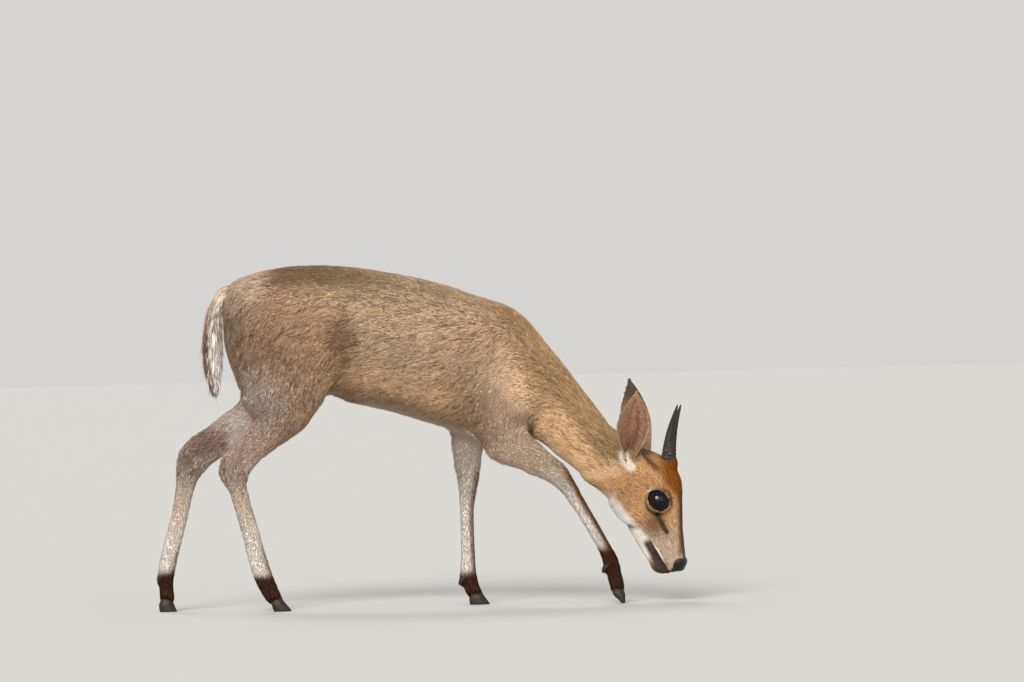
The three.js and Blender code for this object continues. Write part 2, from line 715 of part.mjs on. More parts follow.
// The space in front of the eye, as wide as its opening.
function eyeSpace(side) {
  const inner = eyeOpening(side, EYE_RADIUS, 1, 18);
  const outer = inner.map((p) => p.clone().addScaledVector(gaze(side), 30));
  const deeper = inner.map((p) => p.clone().addScaledVector(gaze(side), -6));
  return loft([deeper, outer]);
}

const MOUTH = [
  [350, 18.5, 89, 1.2],
  [355, 18.5, 79, 1.7],
  [361, 17.5, 68, 1.8],
  [368, 14.5, 56, 1.8],
  [374, 9, 46, 1.8],
  [377, 0, 41, 1.8],
];
const TEAR_GROOVE = [
  [364.5, 31, 134, 1.4],
  [367.5, 29, 125, 2],
  [371.5, 26, 114, 2],
  [375, 22.5, 103, 1.2],
];

function bothSides(points) {
  return [...points, ...points.slice(0, -1).reverse().map(([x, y, z, r]) => [x, -y, z, r])];
}

function buildHead() {
  let solid = keepRight(solidOfNet(headNet), HEAD_CUT[0], HEAD_CUT[1]);
  for (const side of [-1, 1]) {
    solid = solid.subtract(turned(eyeSpace(side))).add(turned(lids(side)));
    solid = solid.subtract(turned(eyeball(side, GAP)));
    const groove = TEAR_GROOVE.map(([x, y, z, r]) => [x, side * y, z, r]);
    solid = solid.subtract(turned(rod(groove, 6)));
  }
  solid = solid.subtract(turned(rod(bothSides(MOUTH), 6)));
  return keepRight(solid, NOSE_CUT[1], NOSE_CUT[0]);
}

const NOSTRIL = [
  [396, 12.5, 63.5, 1.6],
  [393, 12, 58, 2.6],
  [388, 12.5, 55, 1.4],
];

function buildNose() {
  let solid = keepRight(solidOfNet(headNet), NOSE_CUT[0], NOSE_CUT[1]);
  for (const side of [-1, 1]) {
    const nostril = NOSTRIL.map(([x, y, z, r]) => [x, side * y, z, r]);
    solid = solid.subtract(turned(rod(nostril, 6)));
  }
  return solid.subtract(turned(rod(bothSides(MOUTH), 6)));
}

// Ears: each is a leaf-shaped cup that closes to a tube at its foot.

// At even steps from its foot to its tip: the radius of the cup, the degrees that it wraps to either side, and
// how far its back lies behind the ear's middle line.
const EAR_RINGS = [
  [9, 150, 7],
  [11, 132, 9],
  [15, 106, 11],
  [20, 84, 11],
  [25, 70, 9.5],
  [28, 62, 8],
  [28, 55, 6.5],
  [26, 49, 5],
  [21, 42, 4],
  [14, 34, 2.5],
  [5, 14, 1],
];
const EAR_COLUMNS = 8;

function buildEar({ side, root, tip, open: opening }) {
  const foot = new THREE.Vector3(...root);
  const end = new THREE.Vector3(...tip);
  const along = end.clone().sub(foot).normalize();
  const open = new THREE.Vector3(...opening);
  open.addScaledVector(along, -open.dot(along)).normalize();
  const across = open.clone().cross(along);
  const point = ([radius, wrap, back], r, v, inset) => {
    const turn = radians(wrap) * v;
    return foot
      .clone()
      .lerp(end, r / (EAR_RINGS.length - 1))
      .addScaledVector(across, (radius - inset) * Math.sin(turn))
      .addScaledVector(open, radius - back - (radius - inset) * Math.cos(turn));
  };
  const rings = EAR_RINGS.map((ring, r) => {
    const steps = Array.from({ length: EAR_COLUMNS + 1 }, (_, c) => (2 * c) / EAR_COLUMNS - 1);
    const outer = steps.map((v) => point(ring, r, v, 0));
    const inner = steps.reverse().map((v) => point(ring, r, v, EAR_THICKNESS * (1 - 0.5 * v * v)));
    return [...outer, ...inner];
  });
  const butt = [320, side * 24, 202, 11];
  const knot = foot.clone().lerp(end, 0.06);
  return loft(rings).add(rod([butt, [...knot, 8]], 10));
}

// Horns: short straight spikes, ringed near the base.

function buildHorn(side) {
  const base = new THREE.Vector3(HORN_BASE[0], side * HORN_BASE[1], HORN_BASE[2]);
  const tip = new THREE.Vector3(HORN_TIP[0], side * HORN_TIP[1], HORN_TIP[2]);
  const steps = 14;
  const points = Array.from({ length: steps + 1 }, (_, i) => {
    const share = i / steps;
    const p = base.clone().lerp(tip, share);
    p.x -= 3.5 * Math.sin(Math.PI * share);
    const ridge = share > 0.12 && share < 0.5 && i % 2 === 0 ? 0.45 : 0;
    const radius = HORN_TIP_RADIUS + (HORN_BASE_RADIUS - HORN_TIP_RADIUS) * (1 - share) ** 0.85 + ridge;
    return [p.x, p.y, p.z, radius];
  });
  return rod(points, 10);
}

function addHeadNodes() {
  addNode("head", buildHead(), coatHead);
  addNode("nose_pad", buildNose(), noseBlack);
  const cutter = swollen(neckAndHead, headNet, GAP);
  for (const [name, side] of [["right", -1], ["left", 1]]) {
    addNode("eye_" + name, turned(eyeball(side, 0)), eyeBlack);
    addNode("horn_" + name, turned(buildHorn(side)).subtract(cutter), hornBlack);
    addNode("ear_" + name, turned(buildEar(EARS[name])).subtract(cutter), earSkin);
  }
}

// Legs: an upper length down to the hock or the carpus, and a lower one down to the hooves.

const LEG_GRIDS = {
  hind_right: {
    upper: gridBox([-204, -48, 262], 42, [134, 52, 84], [15, 9, 10]),
    lower: gridBox([-247, -43, 106], 110, [122, 21, 36], [16, 6.4, 7.4]),
  },
  hind_left: {
    upper: gridBox([-252, 48, 268], 34, [142, 52, 84], [15, 9, 10]),
    lower: gridBox([-366, 41, 112], 76, [126, 21, 36], [16, 6.4, 7.4]),
  },
  fore_right: {
    upper: gridBox([166, -40, 222], -40, [104, 38, 54], [13, 8, 8.5]),
    lower: gridBox([262, -38, 96], -63, [112, 19, 32], [16, 6, 6.4]),
  },
  fore_left: {
    upper: gridBox([75, 40, 208], 90, [70, 38, 50], [13, 8, 8.5]),
    lower: gridBox([75, 38, 88], 90, [98, 19, 33], [16, 6, 6.4]),
  },
};

// Each foot: the line, seen from the side, where the leg ends and the hooves begin, the y of its middle, the
// rings of a claw from the floor up, each its height and its rear and front x, and where its dewclaws stand.
const FEET = {
  hind_right: {
    cut: [[-190, 18], [-240, 12]],
    y: -40.5,
    rings: [[0, -219, -192], [5, -221, -195], [12, -223, -201], [24, -226, -206]],
    dewclaws: [-239, 47],
  },
  hind_left: {
    cut: [[-360, 18], [-410, 15]],
    y: 40,
    rings: [[0, -394, -368], [5, -395, -370], [12, -395.5, -373], [24, -396, -375]],
    dewclaws: [-394, 52],
  },
  fore_right: {
    cut: [[312, 19.5], [278, 19.5]],
    y: -37,
    rings: [[0, 300.5, 305.5], [4, 297, 306.2], [10, 290, 306.5], [18, 284.5, 306.5], [26, 283, 306]],
    dewclaws: [275, 54],
  },
  fore_left: {
    cut: [[110, 17], [60, 11]],
    y: 37,
    rings: [[0, 73, 104], [5, 72, 101], [12, 72, 96], [24, 69, 90]],
    dewclaws: [60, 38],
  },
};
const CLAW_POINTS = 10;
const DEWCLAW_SPREAD = 6.5;

// One claw, its inner wall flatter than its outer one and its toe narrowed.
function claw({ y, rings }, outward) {
  return loft(
    rings.map(([z, rear, front], r) =>
      Array.from({ length: CLAW_POINTS }, (_, i) => {
        const turn = (2 * Math.PI * i) / CLAW_POINTS;
        const forward = (1 + Math.cos(turn)) / 2;
        const wall = Math.sin(turn) * outward > 0 ? 1 : 0.86;
        const half = (CLAW_WIDTH / 2) * (1 - 0.3 * forward ** 3) * wall * (1 - 0.02 * r);
        return new THREE.Vector3(
          (rear + front) / 2 + ((front - rear) / 2) * Math.cos(turn),
          y + outward * CLAW_SPREAD + half * Math.sin(turn),
          z,
        );
      }),
    ),
  );
}

function dewclaw([x, z], y) {
  return rod([[x + 8, y, z + 5, 4.6], [x, y, z, 4.4], [x - 3, y, z - 7, 2.8], [x - 3, y, z - 10, 1]], 6);
}

function addLegNodes() {
  const joints = { ...HOCK_CUTS, ...CARPUS_CUTS };
  for (const [name, grids] of Object.entries(LEG_GRIDS)) {
    const far = trunkAndLeg(name);
    const [front, rear] = joints[name];
    const [toeEnd, heelEnd] = FEET[name].cut;
    const upper = solidOfNet(netOf(far, grids.upper)).intersect(legZone(name, 0));
    addNode(name + "_leg_upper", keepRight(upper, front, rear), coatGrey);
    let lower = keepRight(solidOfNet(netOf(legTubes[name], grids.lower)), rear, front);
    for (const step of [-DEWCLAW_SPREAD, DEWCLAW_SPREAD]) {
      lower = lower.add(dewclaw(FEET[name].dewclaws, FEET[name].y + step));
    }
    addNode(name + "_leg_lower", keepRight(lower, toeEnd, heelEnd), coatPale);
    for (const [where, step] of [["inner", -sideOf(name)], ["outer", sideOf(name)]]) {
      addNode(name + "_hoof_" + where, keepRight(claw(FEET[name], step), heelEnd, toeEnd), hoofBlack);
    }
  }
}

// Tail: a flat brush of long hair that hangs from the rump.

// The outline of the brush. Each row is the x and z of its front edge, the x and z of its rear edge, and its
// half width.
const BRUSH = [
  [-262, 480, -266, 494, 8],
  [-281, 470, -292, 487, 10],
  [-289, 452, -309, 456, 14],
  [-291, 430, -315, 431, 16],
  [-289, 405, -317, 403, 17],
  [-288, 377, -319, 378, 16],
  [-292, 350, -315, 351, 11],
  [-296, 330, -306, 331, 5],
  [-299, 320, -302, 320, 1.5],
];
const DOCK_THICKNESS = 0.5; // the tail under its hair, as a share of the brush
const DOCK_END = 0.5; // how far down the brush it reaches
const DOCK_RINGS = 4;
const DOCK_SIDES = 8;
// Rows of locks down the tail: where each is rooted and where it ends, as shares of the brush's length, how
// many locks go round, and their width.
const LOCK_ROWS = [
  { from: 0.08, to: 0.4, count: 5, width: 12 },
  { from: 0.22, to: 0.66, count: 5, width: 13 },
  { from: 0.36, to: 0.985, count: 5, width: 13 },
];
const LOCK_THICKNESS = 3.8;
const LOCK_VARIATION = 0.07; // how much the ends of the locks differ, as a share of the brush's length
const LOCK_SEED = 11;
// Sections of a lock from its root to its tip: how far along, how far out to the brush's outline, and the
// share of its full width and thickness.
const LOCK_SECTIONS = [
  [0, 0.25, 0.8],
  [0.3, 0.78, 1],
  [0.7, 0.98, 0.8],
  [1, 0.96, 0.12],
];

// Numbers from 0 to 1 that look random and come out alike each time.
function seededNumbers(seed) {
  let state = seed;
  return () => {
    state = (state * 16807) % 2147483647;
    return state / 2147483647;
  };
}

// The brush at a share of its length: its middle, and the steps to its front edge and to its left edge.
function brushAt(share) {
  const along = Math.min(Math.max(share, 0), 1) * (BRUSH.length - 1);
  const row = Math.min(Math.floor(along), BRUSH.length - 2);
  const [fx, fz, rx, rz, half] = BRUSH[row].map((v, i) => v + (BRUSH[row + 1][i] - v) * (along - row));
  return {
    middle: new THREE.Vector3((fx + rx) / 2, 0, (fz + rz) / 2),
    front: new THREE.Vector3((fx - rx) / 2, 0, (fz - rz) / 2),
    left: new THREE.Vector3(0, half, 0),
  };
}

function brushPoint(share, turn, out) {
  const { middle: p, front, left } = brushAt(share);
  return p.addScaledVector(front, out * Math.cos(turn)).addScaledVector(left, out * Math.sin(turn));
}

// One lock, a flat tapered tongue that leaves the dock, bends down and ends on the brush's outline.
function tailLock(from, to, turn, width) {
  const rings = LOCK_SECTIONS.map(([along, out, size]) => {
    const share = from + (to - from) * along;
    const p = brushPoint(share, turn, out);
    const outward = brushPoint(share, turn, out + 0.1).sub(p).normalize();
    const across = brushPoint(share, turn + 0.1, out).sub(brushPoint(share, turn - 0.1, out)).normalize();
    return [[1, 0], [0, 1], [-1, 0], [0, -1]].map(([a, b]) =>
      p
        .clone()
        .addScaledVector(across, (a * width * size) / 2)
        .addScaledVector(outward, (b * LOCK_THICKNESS * size) / 2),
    );
  });
  return loft(rings);
}

function buildTail(torso) {
  const random = seededNumbers(LOCK_SEED);
  const around = Array.from({ length: DOCK_SIDES }, (_, i) => (2 * Math.PI * i) / DOCK_SIDES);
  let tail = loft(
    Array.from({ length: DOCK_RINGS }, (_, r) => {
      const down = r / (DOCK_RINGS - 1);
      const out = down === 1 ? 0.12 : DOCK_THICKNESS + 0.4 * (1 - down) ** 4;
      return around.map((turn) => brushPoint(DOCK_END * down, turn, out));
    }),
  );
  LOCK_ROWS.forEach(({ from, to, count, width }, row) => {
    for (let i = 0; i < count; i++) {
      const turn = (2 * Math.PI * (i + 0.5 * (row % 2) + 0.3 * random())) / count;
      const end = to - LOCK_VARIATION * random();
      tail = tail.add(tailLock(from, end, turn, width * (0.9 + 0.2 * random())));
    }
  });
  return tail.subtract(torso);
}

const torsoNet = netOf(wholeBody, torsoBox);
addNode("torso", buildTorso(), coatGrey);
addNode("tail", buildTail(swollen(wholeBody, torsoNet, GAP)), tailWhite);
addNode("neck", buildNeck(), coatGrey);
addHeadNodes();
addLegNodes();

// The stations are measured from a point near the middle: the meshes move so that the middle is the origin.
const middle = new THREE.Box3().setFromObject(animal).getCenter(new THREE.Vector3());
for (const mesh of animal.children) mesh.geometry.translate(-middle.x, -middle.y, 0);

export default animal;
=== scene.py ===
# %% [markdown]
# # A common duiker ram, still and life-size
# This notebook dresses the solid model of a small grey antelope, so that it looks like the living animal.
# The solids give the true size and pose. Blender adds the skin, the coat, the eyes, the horns and the hooves.
# Everything is in metres: +X is the way the animal walks, +Y is its left side and +Z is up.

# %% Load the solid model
import math
import time

import bmesh
import bpy
import numpy as np
from mathutils import Matrix, Vector, noise
from mathutils.kdtree import KDTree


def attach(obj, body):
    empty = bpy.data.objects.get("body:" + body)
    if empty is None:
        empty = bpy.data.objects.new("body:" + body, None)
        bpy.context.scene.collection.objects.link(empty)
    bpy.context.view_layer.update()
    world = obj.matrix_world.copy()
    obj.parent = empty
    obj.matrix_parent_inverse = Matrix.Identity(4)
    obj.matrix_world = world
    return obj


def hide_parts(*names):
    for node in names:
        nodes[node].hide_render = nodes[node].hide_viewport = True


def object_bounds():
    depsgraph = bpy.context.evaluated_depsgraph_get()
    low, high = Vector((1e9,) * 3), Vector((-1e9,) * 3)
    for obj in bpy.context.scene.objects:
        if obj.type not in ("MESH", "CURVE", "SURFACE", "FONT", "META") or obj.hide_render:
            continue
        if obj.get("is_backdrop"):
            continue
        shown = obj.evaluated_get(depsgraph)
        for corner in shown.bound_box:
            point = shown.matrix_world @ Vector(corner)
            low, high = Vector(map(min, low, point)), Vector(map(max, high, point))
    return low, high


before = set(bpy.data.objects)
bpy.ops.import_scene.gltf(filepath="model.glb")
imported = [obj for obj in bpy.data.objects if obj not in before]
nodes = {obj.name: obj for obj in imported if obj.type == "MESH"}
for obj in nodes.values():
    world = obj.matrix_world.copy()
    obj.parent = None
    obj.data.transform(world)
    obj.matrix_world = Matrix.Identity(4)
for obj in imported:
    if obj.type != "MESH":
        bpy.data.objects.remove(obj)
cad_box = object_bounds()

started = time.time()
scene = bpy.context.scene


def tell(what):
    print(f"[{time.time() - started:6.1f} s] {what}")


def linked(name, data):
    """A new object of the scene with this mesh, curve, lamp or camera."""
    obj = bpy.data.objects.new(name, data)
    scene.collection.objects.link(obj)
    return obj


tell(f"{len(nodes)} nodes")

# %% [markdown]
# ## The camera
# The photograph was taken with a long lens from far away, so lines that run away from the camera hardly
# converge. A camera nine metres off with a long lens gives the same flat view. The ground in the photograph
# rises a little to the right, so the camera is rolled by that angle.

# %% Set up the camera
CAMERA_DISTANCE = 9.0
VIEW_WIDTH = 1.536  # metres across the picture at the animal
CAMERA_ROLL = math.radians(1.385)
AIM = Vector((0.1465, 0.0037, 0.3953))

lens = bpy.data.cameras.new("camera")
lens.sensor_width = 36.0
lens.lens = 36.0 * CAMERA_DISTANCE / VIEW_WIDTH
lens.clip_end = 100.0
camera = linked("camera", lens)
right = Vector((math.cos(CAMERA_ROLL), 0, -math.sin(CAMERA_ROLL)))
up = Vector((math.sin(CAMERA_ROLL), 0, math.cos(CAMERA_ROLL)))
camera.matrix_world = Matrix.Translation(AIM - Vector((0, CAMERA_DISTANCE, 0))) @ Matrix(
    (right, up, right.cross(up))
).transposed().to_4x4()
scene.camera = camera
tell(f"lens {lens.lens:.0f} mm")

# %% [markdown]
# ## The studio
# A plain pale floor that runs out of sight, a sky of the same soft tone, and three broad lights: a key above
# the camera, a low one that stands for the light from the bright ground, and one from behind.
# The colours of the coat were measured in plain tones, so the picture is shown without a film look.

# %% Light the scene
SKY = (0.93, 0.92, 0.90)
SKY_STRENGTH = 0.72
FLOOR_TONE = (0.400, 0.395, 0.387)
FLOOR_REACH = 60.0
scene.view_settings.view_transform = "Standard"
world = bpy.data.worlds.new("sky")
scene.world = world
world.use_nodes = True
world.node_tree.nodes["Background"].inputs["Color"].default_value = (*SKY, 1)
world.node_tree.nodes["Background"].inputs["Strength"].default_value = SKY_STRENGTH


def soft_sun(name, from_where, strength, spread, colour):
    """A broad far light, which falls evenly on the whole floor."""
    lamp = bpy.data.lights.new(name, "SUN")
    lamp.energy = strength
    lamp.angle = math.radians(spread)
    lamp.color = colour
    linked(name, lamp).rotation_euler = (-Vector(from_where)).to_track_quat("-Z", "Y").to_euler()


soft_sun("key", (-0.25, -1.0, 0.6), 4.2, 26, (1.0, 0.98, 0.95))
soft_sun("fill", (0.25, -1.0, 0.1), 1.9, 70, (1.0, 0.99, 0.97))
soft_sun("rim", (-0.35, 0.9, 1.15), 1.25, 25, (1.0, 0.98, 0.95))

floor_mesh = bpy.data.meshes.new("floor")
corners = [(x * FLOOR_REACH, y * FLOOR_REACH, 0) for x, y in ((-1, -1), (1, -1), (1, 1), (-1, 1))]
floor_mesh.from_pydata(corners, [], [(0, 1, 2, 3)])
floor = linked("floor", floor_mesh)
floor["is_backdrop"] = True
tell("floor, sky and lamps set")

# %% [markdown]
# ## Finishes
# Every finish is a node material. A helper makes the shader and sets its plain numbers straight on the
# shader's own sockets. Patterns read the object's own coordinates, so that they stay in place.


# %% A helper for materials
class Finish:
    """A material with a Principled shader, and short ways to add nodes and to join them."""

    def __init__(self, name, **numbers):
        self.material = bpy.data.materials.new(name)
        self.material.use_nodes = True
        self.tree = self.material.node_tree
        self.shader = self.tree.nodes["Principled BSDF"]
        for socket, value in numbers.items():
            self.shader.inputs[socket.replace("_", " ")].default_value = value

    def node(self, kind, settings=None, **inputs):
        made = self.tree.nodes.new("ShaderNode" + kind)
        for key, value in (settings or {}).items():
            setattr(made, key, value)
        for socket, value in inputs.items():
            target = made.inputs[socket.replace("_", " ")] if not socket.startswith("i") else None
            target = made.inputs[int(socket[1:])] if target is None else target
            if isinstance(value, bpy.types.NodeSocket):
                self.tree.links.new(value, target)
            else:
                target.default_value = value
        return made

    def place(self):
        return self.node("TexCoord").outputs["Object"]

    def noise(self, scale, detail=3.0, rough=0.5):
        made = self.node("TexNoise", Vector=self.place(), Scale=scale, Detail=detail, Roughness=rough)
        return made.outputs["Fac"]

    def spread(self, value, low, high, out_low, out_high):
        made = self.node("MapRange", {"clamp": True}, i0=value, i1=low, i2=high, i3=out_low, i4=out_high)
        return made.outputs[0]

    def mixed(self, share, one, two, way="MIX"):
        made = self.node("Mix", {"data_type": "RGBA", "blend_type": way}, i0=share, i6=one, i7=two)
        return made.outputs[2]

    def marks(self):
        """The markings that the piece's own points carry."""
        return self.node("Attribute", {"attribute_name": "Coat"}).outputs["Color"]

    def grained(self, colour, grain, low, highs):
        """A colour that a pattern makes darker and lighter, up to a high each for red, green and blue."""
        tones = {f"i{k}": self.spread(grain, 0.3, 0.7, low, high) for k, high in enumerate(highs)}
        return self.mixed(1.0, colour, self.node("CombineColor", **tones).outputs[0], "MULTIPLY")

    def bump(self, height, depth, strength=1.0):
        made = self.node("Bump", Height=height, Distance=depth, Strength=strength)
        self.tree.links.new(made.outputs["Normal"], self.shader.inputs["Normal"])

    def colour(self, socket):
        self.tree.links.new(socket, self.shader.inputs["Base Color"])

    def roughness(self, socket):
        self.tree.links.new(socket, self.shader.inputs["Roughness"])


floor_finish = Finish("studio_floor", Roughness=0.9, Specular_IOR_Level=0.1)
paper = floor_finish.noise(3.0, 2.0)
floor_finish.colour(floor_finish.mixed(paper, (*[t * 0.985 for t in FLOOR_TONE], 1), (*FLOOR_TONE, 1)))
floor_mesh.materials.append(floor_finish.material)

# %% [markdown]
# ## Landmarks
# A few measured places set out the lids, the mouth, the ears and the markings. They are in millimetres from
# the same zero as the solids' own stations. The head is laid out looking straight ahead, and is then turned
# to the animal's right, so these helpers take points into the head's own frame and back.

# %% Landmarks and frames
ZERO = np.array([0.335, 3.655, 0.0])  # where the stations' zero lies in the model
HEAD_YAW = math.radians(-9)
HEAD_PIVOT = np.array([305.0, 0.0, 215.0])
EYE_CENTRE = np.array([362.8, 22.0, 151.3])
EYE_RADIUS = 21.0
EYE_LONG = 15.4
EYE_SHORT = 10.8
EYE_SLANT = math.radians(-47)


def turned(points, angle):
    """Points turned about the upright line through the head's pivot."""
    x, y, z = np.moveaxis(np.asarray(points, float) - HEAD_PIVOT, -1, 0)
    c, s = math.cos(angle), math.sin(angle)
    return np.stack([x * c - y * s, x * s + y * c, z], -1) + HEAD_PIVOT


def to_stations(points):
    return np.asarray(points, float) * 1000 - ZERO


def to_model(points):
    return (np.asarray(points, float) + ZERO) / 1000


def head_to_model(points):
    return to_model(turned(points, HEAD_YAW))


def to_head(points):
    return turned(to_stations(points), -HEAD_YAW)


def unit(vectors):
    return vectors / np.maximum(np.linalg.norm(vectors, axis=-1, keepdims=True), 1e-9)


def to_left(points):
    """Points of both sides laid on the left one, because the animal is alike on both."""
    return points * [1, 0, 1] + np.abs(points) * [0, 1, 0]


def smooth_step(low, high, value):
    t = np.clip((value - low) / (high - low), 0, 1)
    return t * t * (3 - 2 * t)


def smooth_rows(rows, at):
    """Rows of numbers at places between the given ones, on smooth curves through them."""
    i = np.minimum(at.astype(int), len(rows) - 2)
    t = (at - i)[:, None]
    before, one = rows[np.maximum(i - 1, 0)], rows[i]
    two, after = rows[i + 1], rows[np.minimum(i + 2, len(rows) - 1)]
    return 0.5 * (2 * one + (two - before) * t + (2 * before - 5 * one + 4 * two - after) * t ** 2
                  + (3 * one - before - 3 * two + after) * t ** 3)


def spot(points, at, radii, soft=0.45):
    """1 inside an oval, falling to 0 over a soft edge. A radius of None isn't measured."""
    keep = [k for k in range(3) if radii[k] is not None]
    d = np.sqrt(sum(((points[:, k] - at[k]) / radii[k]) ** 2 for k in keep))
    return 1 - smooth_step(1 - soft, 1 + soft, d)


def line_distance(points, line):
    """How far each point is from a line of points, and how far along it the nearest place is, from 0 to 1."""
    line = np.asarray(line, float)[:, : points.shape[1]]
    best = np.full(len(points), np.inf)
    share = np.zeros(len(points))
    lengths = np.linalg.norm(np.diff(line, axis=0), axis=1)
    run = np.concatenate([[0], np.cumsum(lengths)])
    for i, length in enumerate(lengths):
        d = line[i + 1] - line[i]
        t = np.clip((points - line[i]) @ d / (length * length), 0, 1)
        far = np.linalg.norm(points - line[i] - t[:, None] * d, axis=1)
        nearer = far < best
        best[nearer] = far[nearer]
        share[nearer] = (run[i] + t[nearer] * length) / run[-1]
    return best, share


# %% [markdown]
# ## One skin
# The solids are parted by thin cuts, but the animal has one skin. Copies of the flesh are joined, grown by a
# hair's breadth so that the cuts close, and remeshed in small voxels. Relaxing then takes out the flat facets
# of the solids: a little on the thin legs, and more on the broad trunk.

# %% Join and remesh the flesh
LEGS = ["hind_right", "hind_left", "fore_right", "fore_left"]
FLESH = ["torso", "neck", "head", "nose_pad"]
FLESH += [leg + part for leg in LEGS for part in ("_leg_upper", "_leg_lower")]
VOXEL = 0.0037
GROWTH = 0.0003

# The outline of the tail's hair: x and z of its front edge, x and z of its rear edge, and its half width.
BRUSH = np.array([
    [-262, 480, -266, 494, 8],
    [-281, 470, -292, 487, 10],
    [-289, 452, -309, 456, 14],
    [-291, 430, -315, 431, 16],
    [-289, 405, -317, 403, 17],
    [-288, 377, -319, 378, 16],
    [-292, 350, -315, 351, 11],
    [-296, 330, -306, 331, 5],
    [-299, 320, -302, 320, 1.5],
], float)


def read(items, key, width, kind=np.float32):
    """The numbers of a mesh's points, edges, faces or corners, a row for each."""
    out = np.empty(len(items) * width, kind)
    items.foreach_get(key, out)
    return out.reshape(-1, width)


def coordinates(mesh):
    return read(mesh.vertices, "co", 3).astype(float)


def normals_of(mesh):
    return read(mesh.vertex_normals, "vector", 3).astype(float)


def edges_of(mesh):
    return read(mesh.edges, "vertices", 2, np.int32)


def put_points(mesh, points):
    mesh.vertices.foreach_set("co", points.astype(np.float32).ravel())
    mesh.update()


def ring_faces(rings, sides):
    """The faces of a closed tube of rings of points: bands between the rings, and a cap at both ends."""
    faces = []
    for low in range(0, (rings - 1) * sides, sides):
        high = low + sides
        faces += [[low + i, low + (i + 1) % sides, high + (i + 1) % sides, high + i] for i in range(sides)]
    return faces + [list(range(sides))[::-1], [(rings - 1) * sides + i for i in range(sides)]]


def brush_point(share, turn, out):
    """A point of the tail's brush: how far down, the turn round it, and how far out to its outline."""
    along = np.clip(share, 0, 1) * (len(BRUSH) - 1)
    row = np.minimum(along.astype(int), len(BRUSH) - 2)
    fx, fz, rx, rz, half = (BRUSH[row] + (BRUSH[row + 1] - BRUSH[row]) * (along - row)[:, None]).T
    c, s = np.cos(turn) * out / 2, np.sin(turn) * out
    return np.stack([(fx + rx) / 2 + (fx - rx) * c, half * s, (fz + rz) / 2 + (fz - rz) * c], -1)


def dock():
    """The tail under its hair, as a closed tapered tube."""
    rings, sides = 9, 12
    turns = np.arange(sides) * 2 * math.pi / sides
    points = [brush_point(np.full(sides, 0.55 * r / (rings - 1)), turns, 0.62 - 0.4 * r / rings)
              for r in range(rings)]
    points[0] = points[0] + np.array([14.0, 0, -6.0])  # the first ring lies inside the rump
    mesh = bpy.data.meshes.new("dock")
    mesh.from_pydata(to_model(np.concatenate(points)).tolist(), [], ring_faces(rings, sides))
    return mesh


def joined_flesh():
    whole = bmesh.new()
    for mesh in [nodes[name].data for name in FLESH] + [dock()]:
        part = bmesh.new()
        part.from_mesh(mesh)
        bmesh.ops.remove_doubles(part, verts=part.verts, dist=1e-6)
        bmesh.ops.recalc_face_normals(part, faces=part.faces)
        part.normal_update()
        for v in part.verts:
            v.co += v.normal * GROWTH
        copy = bpy.data.meshes.new("part")
        part.to_mesh(copy)
        whole.from_mesh(copy)
        part.free()
    mesh = bpy.data.meshes.new("flesh")
    whole.to_mesh(mesh)
    whole.free()
    return mesh


def remeshed(mesh, voxel):
    obj = linked("flesh", mesh)
    net = obj.modifiers.new("voxels", "REMESH")
    net.mode = "VOXEL"
    net.voxel_size = voxel
    graph = bpy.context.evaluated_depsgraph_get()
    out = bpy.data.meshes.new_from_object(obj.evaluated_get(graph))
    bpy.data.objects.remove(obj)
    return out


def largest_shell(mesh):
    """The mesh without the small closed shells that voxels leave inside it."""
    bm = bmesh.new()
    bm.from_mesh(mesh)
    seen, shells = set(), []
    for start in bm.verts:
        if start.index in seen:
            continue
        shell, stack = [], [start]
        seen.add(start.index)
        while stack:
            v = stack.pop()
            shell.append(v)
            for e in v.link_edges:
                o = e.other_vert(v)
                if o.index not in seen:
                    seen.add(o.index)
                    stack.append(o)
        shells.append(shell)
    shells.sort(key=len)
    for shell in shells[:-1]:
        bmesh.ops.delete(bm, geom=shell, context="VERTS")
    bm.to_mesh(mesh)
    bm.free()
    return mesh


skin = largest_shell(remeshed(joined_flesh(), VOXEL))
tell(f"skin of {len(skin.vertices)} points and {len(skin.polygons)} faces")


# %% Name the parts of the skin and relax it
def spread_out(values, edges, steps):
    """Values at the points of a mesh, each averaged with its neighbours again and again."""
    values = np.asarray(values, float)
    flat = values.reshape(len(values), -1)
    a, b = edges.T
    n = len(flat)
    count = np.bincount(edges.ravel(), minlength=n)
    for step in range(steps):
        for k in range(flat.shape[1]):
            column = flat[:, k]
            total = np.bincount(a, column[b], n) + np.bincount(b, column[a], n)
            flat[:, k] = 0.5 * column + 0.5 * total / np.maximum(count, 1)
    return flat.reshape(values.shape)


def relax(points, edges, steps):
    """Points moved towards their neighbours' mean, each by its own number of steps."""
    points = points.copy()
    steps = np.asarray(steps, float)
    a, b = edges.T
    n = len(points)
    count = np.bincount(edges.ravel(), minlength=n)[:, None]
    for step in range(int(steps.max())):
        total = np.stack([np.bincount(a, points[b, k], n) + np.bincount(b, points[a, k], n)
                          for k in range(3)], 1)
        share = np.clip(steps - step, 0, 1)[:, None] * 0.5
        points += (total / count - points) * share
    return points


PARTS = FLESH + ["tail"]


def parts_of(points):
    """The number in PARTS of the solid nearest to each point."""
    spots = [(v, i) for i, name in enumerate(PARTS) for v in coordinates(nodes[name].data)]
    tree = KDTree(len(spots))
    for v, i in spots:
        tree.insert(v, i)
    tree.balance()
    return np.array([tree.find(p)[1] for p in points])


RELAX_STEPS = {"torso": 26, "neck": 18, "head": 3, "nose_pad": 2, "upper": 9, "lower": 3, "tail": 6}


def by_part(labels, table):
    """A value for each point from a table that names parts, or ends of their names."""
    values = [next(v for key, v in table.items() if name.endswith(key)) for name in PARTS]
    return np.array(values, float)[labels]


